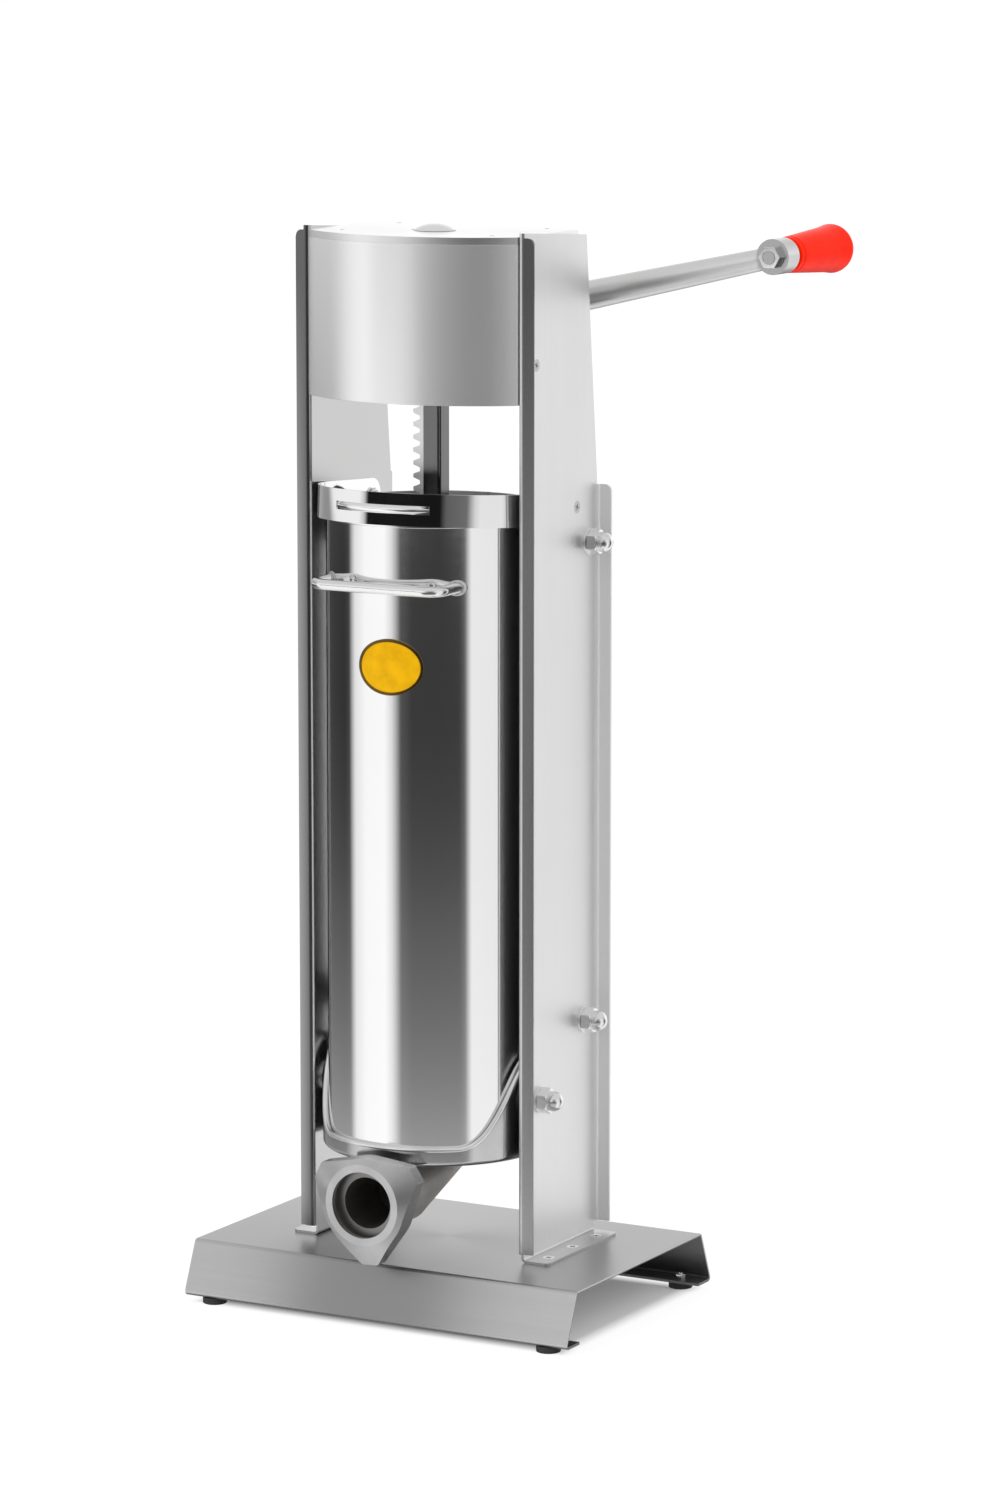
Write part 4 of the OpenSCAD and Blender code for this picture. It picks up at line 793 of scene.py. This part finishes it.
# Crank grip
def grip_body():
    """The grip: a cone with a shallow groove behind its small end, a round knob and a blind bore."""
    low, high = ([c / MM for c in corner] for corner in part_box("crank_grip"))
    x, z = (low[0] + high[0]) / 2, (low[2] + high[2]) / 2
    length = high[1] - low[1]
    knob_r = (high[0] - low[0]) / 2
    small_r = knob_r * 13 / 18
    slope = (knob_r - small_r) / length
    bore_r, bore_end = 5.2, length - 9
    edge_r, end_r = 1.4, knob_r * 0.6
    groove_r = small_r + slope * 5 - 0.5
    dimple_r, dimple = 0.9, 0.35

    def on_cone(s):
        return (small_r + slope * s, s)

    outline = [(bore_r, 0), (small_r - 1.6, 0)] + arc((small_r - edge_r, edge_r), edge_r, -90, 0, 5)
    outline += [on_cone(4.6), (groove_r, 5.1), (groove_r, 6.0), on_cone(6.5)]
    outline += [on_cone(s) for s in range(14, 65, 10)]
    outline += arc((knob_r - end_r, length - end_r), end_r, 3, 90, 14)
    outline += [(dimple_r, length), (0, length - dimple), (0, bore_end), (bore_r, bore_end)]
    body = spun(outline)
    backwards = Matrix.Rotation(math.radians(-90), 3, "X")
    bmesh.ops.rotate(body, cent=(0, 0, 0), matrix=backwards, verts=body.verts)
    bmesh.ops.translate(body, vec=(x, low[1], z), verts=body.verts)
    made = piece("crank_grip_moulded", body, "crank_grip", replaces=["crank_grip"])
    # The steel beside the grip mirrors none of its red
    made.visible_glossy = False


# Screw recesses: each cross is as wide as the radius of its screw's head
SCREW_HEAD_R = 4.6
PLATE_SCREW_HEAD_R = 3.8
CROSS_TURNS = (20, 65, 5, 48, 80, 33, 12, 57, 71, 26, 40, 62)


def cross_recess(width):
    """The cross in a screw head, drawn level at the origin and facing up."""
    narrowed, depth = 0.55, 0.16
    bm = bmesh.new()
    bmesh.ops.create_grid(bm, x_segments=3, y_segments=3, size=width / 2)
    corners = [f for f in bm.faces if min(map(abs, f.calc_center_median()[:2])) > 0.2]
    bmesh.ops.delete(bm, geom=corners, context="FACES")
    for v in bm.verts:
        for i in (0, 1):
            if abs(v.co[i]) < width * 0.3:
                v.co[i] *= narrowed
    raised(bm, depth)
    return bm


def recesses(name, like, width, places):
    """Crosses at the given places, each a point and the way that the head faces."""
    sunk = 0.1
    crosses = []
    for (point, way), turn in zip(places, CROSS_TURNS):
        bm = cross_recess(width)
        upright = Vector((0, 0, 1)).rotation_difference(Vector(way)).to_matrix()
        turned = upright @ Matrix.Rotation(math.radians(turn), 3, "Z")
        bmesh.ops.rotate(bm, cent=(0, 0, 0), matrix=turned, verts=bm.verts)
        bmesh.ops.translate(bm, vec=Vector(point) - Vector(way) * sunk, verts=bm.verts)
        crosses.append(bm)
    piece(name, joined(crosses), like, FINISHES["recess"])


def all_recesses():
    up, down = (0, 0, 1), (0, 0, -1)
    foot_x = span_of("column_screws", "x")[1] - SCREW_HEAD_R
    foot_ys = (-9.56, 27.5, 64.56)
    foot_z = span_of("column_screws", "z")[1]
    recesses("column_screw_recesses", "column_screws", SCREW_HEAD_R, [
        ((side * foot_x, y, foot_z), up) for side in (-1, 1) for y in foot_ys
    ])
    side_y, side_z = middle_of("gearbox_screws", "y"), middle_of("gearbox_screws", "z")
    recesses("gearbox_screw_recesses", "gearbox_screws", SCREW_HEAD_R, [
        ((side * COLUMN_OUT, side_y, side_z), (side, 0, 0)) for side in (-1, 1)
    ])
    recesses("hoop_screw_recesses", "hoop_screws", SCREW_HEAD_R, [
        ((side * COLUMN_OUT, HOOP_PIVOT.y, HOOP_PIVOT.z), (side, 0, 0)) for side in (-1, 1)
    ])
    plate_x = span_of("housing_plate_screws", "x")[1] - PLATE_SCREW_HEAD_R
    plate_ys, guide_xs = (-27, 55), (-18.2, 14.2)
    plate_screws = [(side * plate_x, y) for side in (-1, 1) for y in plate_ys] + [(x, 0) for x in guide_xs]
    floor_z = span_of("gearbox_floor", "z")[0]
    recesses("lid_screw_recesses", "housing_plate_screws", PLATE_SCREW_HEAD_R, [
        ((x, y, LID_TOP), up) for x, y in plate_screws
    ])
    recesses("floor_screw_recesses", "housing_plate_screws", PLATE_SCREW_HEAD_R, [
        ((x, y, floor_z), down) for x, y in plate_screws
    ])


# Everything on the machine
def lid_front(place):
    return place.z > LID_TOP - 0.01 and place.y < COLUMN_FRONT + 0.1


def base_fold(place):
    return place.z > BASE_TOP - 0.1 and (place.y < BASE_FRONT + 1 or place.y > BASE_REAR - 1)


def bar_corner(place):
    return place.x > RACK_BACK - 0.05


# Copies with rounded edges: width is the radius of all sharp edges, and first holds the place, radius and
# segments of edges that are rounded more, before them
SOFTENED = {
    "left_column": dict(width=0.35),
    "right_column": dict(width=0.35),
    "base_plate": dict(width=0.4, first=[(base_fold, 2.4, 4)]),
    "gearbox_cover": dict(width=0.45),
    "gearbox_lid": dict(width=0.4, first=[(lid_front, 3.4, 5)]),
    "gearbox_floor": dict(width=0.3),
    "upper_back_strap": dict(width=0.4),
    "lower_back_strap": dict(width=0.4),
    "cradle": dict(width=0.7),
    "spout_ring_nut": dict(width=0.9, angle=14),
    "outlet_elbow": dict(width=0.5, after=cut_thread),
    "retaining_hoop": dict(width=0.4, shape=taper_rib),
    "crank_arm": dict(width=0.9),
    "cap_nuts": dict(width=0.3),
    "bolt_washers": dict(width=0.3),
    "crank_cap_nut": dict(width=0.3),
    "crank_washer": dict(width=0.3),
    "grip_nut": dict(width=0.4),
    "grip_stud": dict(width=0.4),
    "front_bearing_plate": dict(width=0.4),
    "rear_bearing_plate": dict(width=0.5),
    "rubber_feet": dict(width=0.6),
    "strap_bolts": dict(width=0.4),
    "rack": dict(width=0.25, first=[(bar_corner, 2.6, 4)]),
    "crank_shaft": dict(width=0.4),
    "pinion_shaft": dict(width=0.5),
    "pivot_bolts": dict(width=0.4),
    "piston_disc": dict(width=0.6),
    "column_nuts": dict(width=0.3),
    "foot_nuts": dict(width=0.3),
    "hoop_nuts": dict(width=0.25),
    "air_valve": dict(width=0.4),
    "lower_rack_guide": dict(width=0.5),
    "upper_rack_guide": dict(width=0.5),
    "rack_top_cap": dict(width=0.4),
    "cylinder_gasket": dict(width=0.4),
}
for node, how in SOFTENED.items():
    softened(node, **how)
cylinder_shell()
mouth_band()
badge()
handle_welds()
cradle_bead()
grip_body()
all_recesses()


# Studio

# Brightness of the walls by direction in degrees: 0 is ahead of the machine, 90 to its right. Upright
# polished sheet mirrors the low row, because the camera looks down at it. The gear cover mirrors the cover
# row, the tilted hoop the level row, and what leans back the high row.
LOW_WALLS = [
    (-180, 0.60), (-150, 0.12), (-128, 0.08), (-112, 0.05), (-82, 0.035), (-74, 0.06), (-65, 0.85),
    (-50, 1.06), (-26, 1.08), (-18, 0.80), (-8, 0.09), (4, 0.045), (54, 0.045), (60, 0.12), (67, 0.92),
    (98, 0.90), (106, 0.25), (112, 0.02), (124, 0.03), (136, 0.85), (150, 1.10), (172, 1.05), (180, 0.85),
]
COVER_WALLS = [
    (-180, 0.85), (-150, 0.60), (-110, 0.30), (-78, 0.24), (-60, 0.70), (-48, 1.10), (-16, 1.30),
    (-4, 0.80), (6, 0.48), (16, 0.24), (34, 0.12), (44, 0.45), (52, 0.95), (98, 0.85), (112, 0.20),
    (124, 0.20), (136, 0.95), (150, 1.12), (180, 0.85),
]
LEVEL_WALLS = [
    (-180, 0.85), (-150, 0.70), (-122, 0.20), (-112, 0.70), (-104, 0.92), (-50, 0.95), (-44, 0.6),
    (-40, 0.008), (34, 0.008), (40, 0.12), (60, 0.16), (68, 0.70), (74, 0.85), (96, 0.82),
    (102, 0.30), (108, 0.01), (124, 0.03), (136, 0.85), (152, 1.1), (172, 1.05), (180, 0.85),
]
HIGH_WALLS = [
    (-180, 1.2), (-150, 1.25), (-130, 0.60), (-108, 0.30), (-78, 0.34), (-60, 0.95), (-14, 1.12),
    (-2, 0.95), (10, 0.50), (22, 0.20), (44, 0.20), (56, 0.70), (68, 0.92), (96, 0.88), (110, 0.30),
    (124, 0.35), (136, 1.1), (152, 1.28), (180, 1.2),
]
# The sines of elevation between which each row takes over from the one below it, then the ceiling from the
# high row, and, looking down, the floor from the low row
COVER_RISE = (-0.116, -0.106)
LEVEL_RISE = (-0.074, -0.064)
HIGH_RISE = (0.022, 0.07)
CEILING_RISE = (0.16, 0.62)
FLOOR_FALL = (0.68, 0.90)
PLAIN_WHITE = grey(1)


def studio_room():
    """White for the camera. Polished metal sees tall light boxes and the dark walls between them."""
    ceiling, ground, even_light = grey(0.72), grey(0.92), (0.78, 0.78, 0.79, 1)
    world = bpy.data.worlds.new("studio_room")
    scene.world = world
    f = Finish(world)
    way = f.node("ShaderNodeTexCoord", out="Generated")
    x, y, z = f.outputs(f.node("ShaderNodeSeparateXYZ", {}, {"Vector": way}), "XYZ")
    turn = x.math("ARCTAN2", x, 0 - y) / math.tau + 0.5
    rows = (LOW_WALLS, COVER_WALLS, LEVEL_WALLS, HIGH_WALLS)
    stops = [[((direction + 180) / 360, light) for direction, light in row] for row in rows]
    low, cover, level, high = (f.node("ShaderNodeValToRGB", {"stops": s}, {"Fac": turn}) for s in stops)
    room = f.blend(z.clipped(*COVER_RISE), low, cover)
    room = f.blend(z.clipped(*LEVEL_RISE), room, level)
    room = f.blend(z.clipped(*HIGH_RISE), room, high)
    room = f.blend(z.clipped(*CEILING_RISE), room, ceiling)
    room = f.blend((0 - z).clipped(*FLOOR_FALL), room, ground)
    camera_ray, glossy, through = f.ray_kinds()
    inside = f.blend(glossy, even_light, room)
    colour = f.blend(camera_ray.most(through), inside, PLAIN_WHITE)
    back = f.node("ShaderNodeBackground", {}, {"Color": colour, "Strength": 1.0})
    f.node("ShaderNodeOutputWorld", {}, {"Surface": back})


def studio_floor():
    """Pale paper that turns to plain white away from the machine. Polished metal sees it only near by."""
    shadow_half_x, shadow_half_y = 158, 112
    white_below, white_beside, white_far = 0.12, 0.74, 0.14
    bm = bmesh.new()
    bmesh.ops.create_circle(bm, cap_ends=True, segments=64, radius=30)
    mesh = bpy.data.meshes.new("studio_floor")
    bm.to_mesh(mesh)
    bm.free()
    floor = bpy.data.objects.new("studio_floor", mesh)
    scene.collection.objects.link(floor)
    f = finish("studio_paper")
    camera_ray, glossy, through = f.ray_kinds()
    at = f.axes()
    outside = (abs(at.x) - shadow_half_x).most(abs(at.y - BASE_MID_Y) - shadow_half_y)
    paper = f.node("ShaderNodeBsdfDiffuse", {}, {"Color": grey(0.88)})
    white = f.node("ShaderNodeEmission", {}, {"Color": PLAIN_WHITE, "Strength": 1.04})
    share = white_below + white_beside * outside.clipped(-16, -1) + white_far * outside.clipped(0, 500)
    plain = camera_ray.most(through) * share
    shown = f.node("ShaderNodeMixShader", {}, {0: plain, 1: paper, 2: white})
    distance = f.node("ShaderNodeVectorMath", {"operation": "LENGTH"}, {0: f.place()}, out="Value")
    faded = distance / 0.55
    mirrored = 0.62 / (1 + faded * faded) * (1 - distance.clipped(1.6, 3.0))
    gone = f.node("ShaderNodeBsdfTransparent")
    surface = f.node("ShaderNodeMixShader", {}, {0: glossy * (1 - mirrored), 1: shown, 2: gone})
    f.node("ShaderNodeOutputMaterial", {}, {"Surface": surface})
    mesh.materials.append(f.owner)


def soft_box(name, place, aim, size, power):
    lamp = bpy.data.lights.new(name, "AREA")
    lamp.shape = "RECTANGLE"
    lamp.size, lamp.size_y = size
    lamp.energy = power
    made = bpy.data.objects.new(name, lamp)
    made.location = place
    made.rotation_euler = (Vector(aim) - Vector(place)).to_track_quat("-Z", "Y").to_euler()
    made.visible_glossy = False
    made.visible_camera = False
    scene.collection.objects.link(made)


def camera():
    """The photograph's view, found by fitting the base, the columns and the cylinder."""
    cam = bpy.data.cameras.new("photo_camera")
    made = bpy.data.objects.new("photo_camera", cam)
    scene.collection.objects.link(made)
    looks_down, azimuth = 9.30, 28.96
    made.location = (2.03437, -3.57793, 1.08874)
    made.rotation_euler = (math.radians(90 - looks_down), 0, math.radians(azimuth))
    cam.sensor_width = 36
    cam.lens = 136.59
    cam.clip_end = 100
    scene.camera = made


studio_room()
studio_floor()
soft_box("key_box", (-1.6, -1.8, 2.4), (0, 0, 0.4), (1.6, 1.6), 34)
soft_box("fill_box", (2.2, -0.6, 1.7), (0, 0, 0.4), (1.4, 1.8), 18)
soft_box("top_box", (0, 0.3, 2.9), (0, 0, 0), (2.2, 2.2), 24)
camera()
scene.view_settings.view_transform = "Standard"
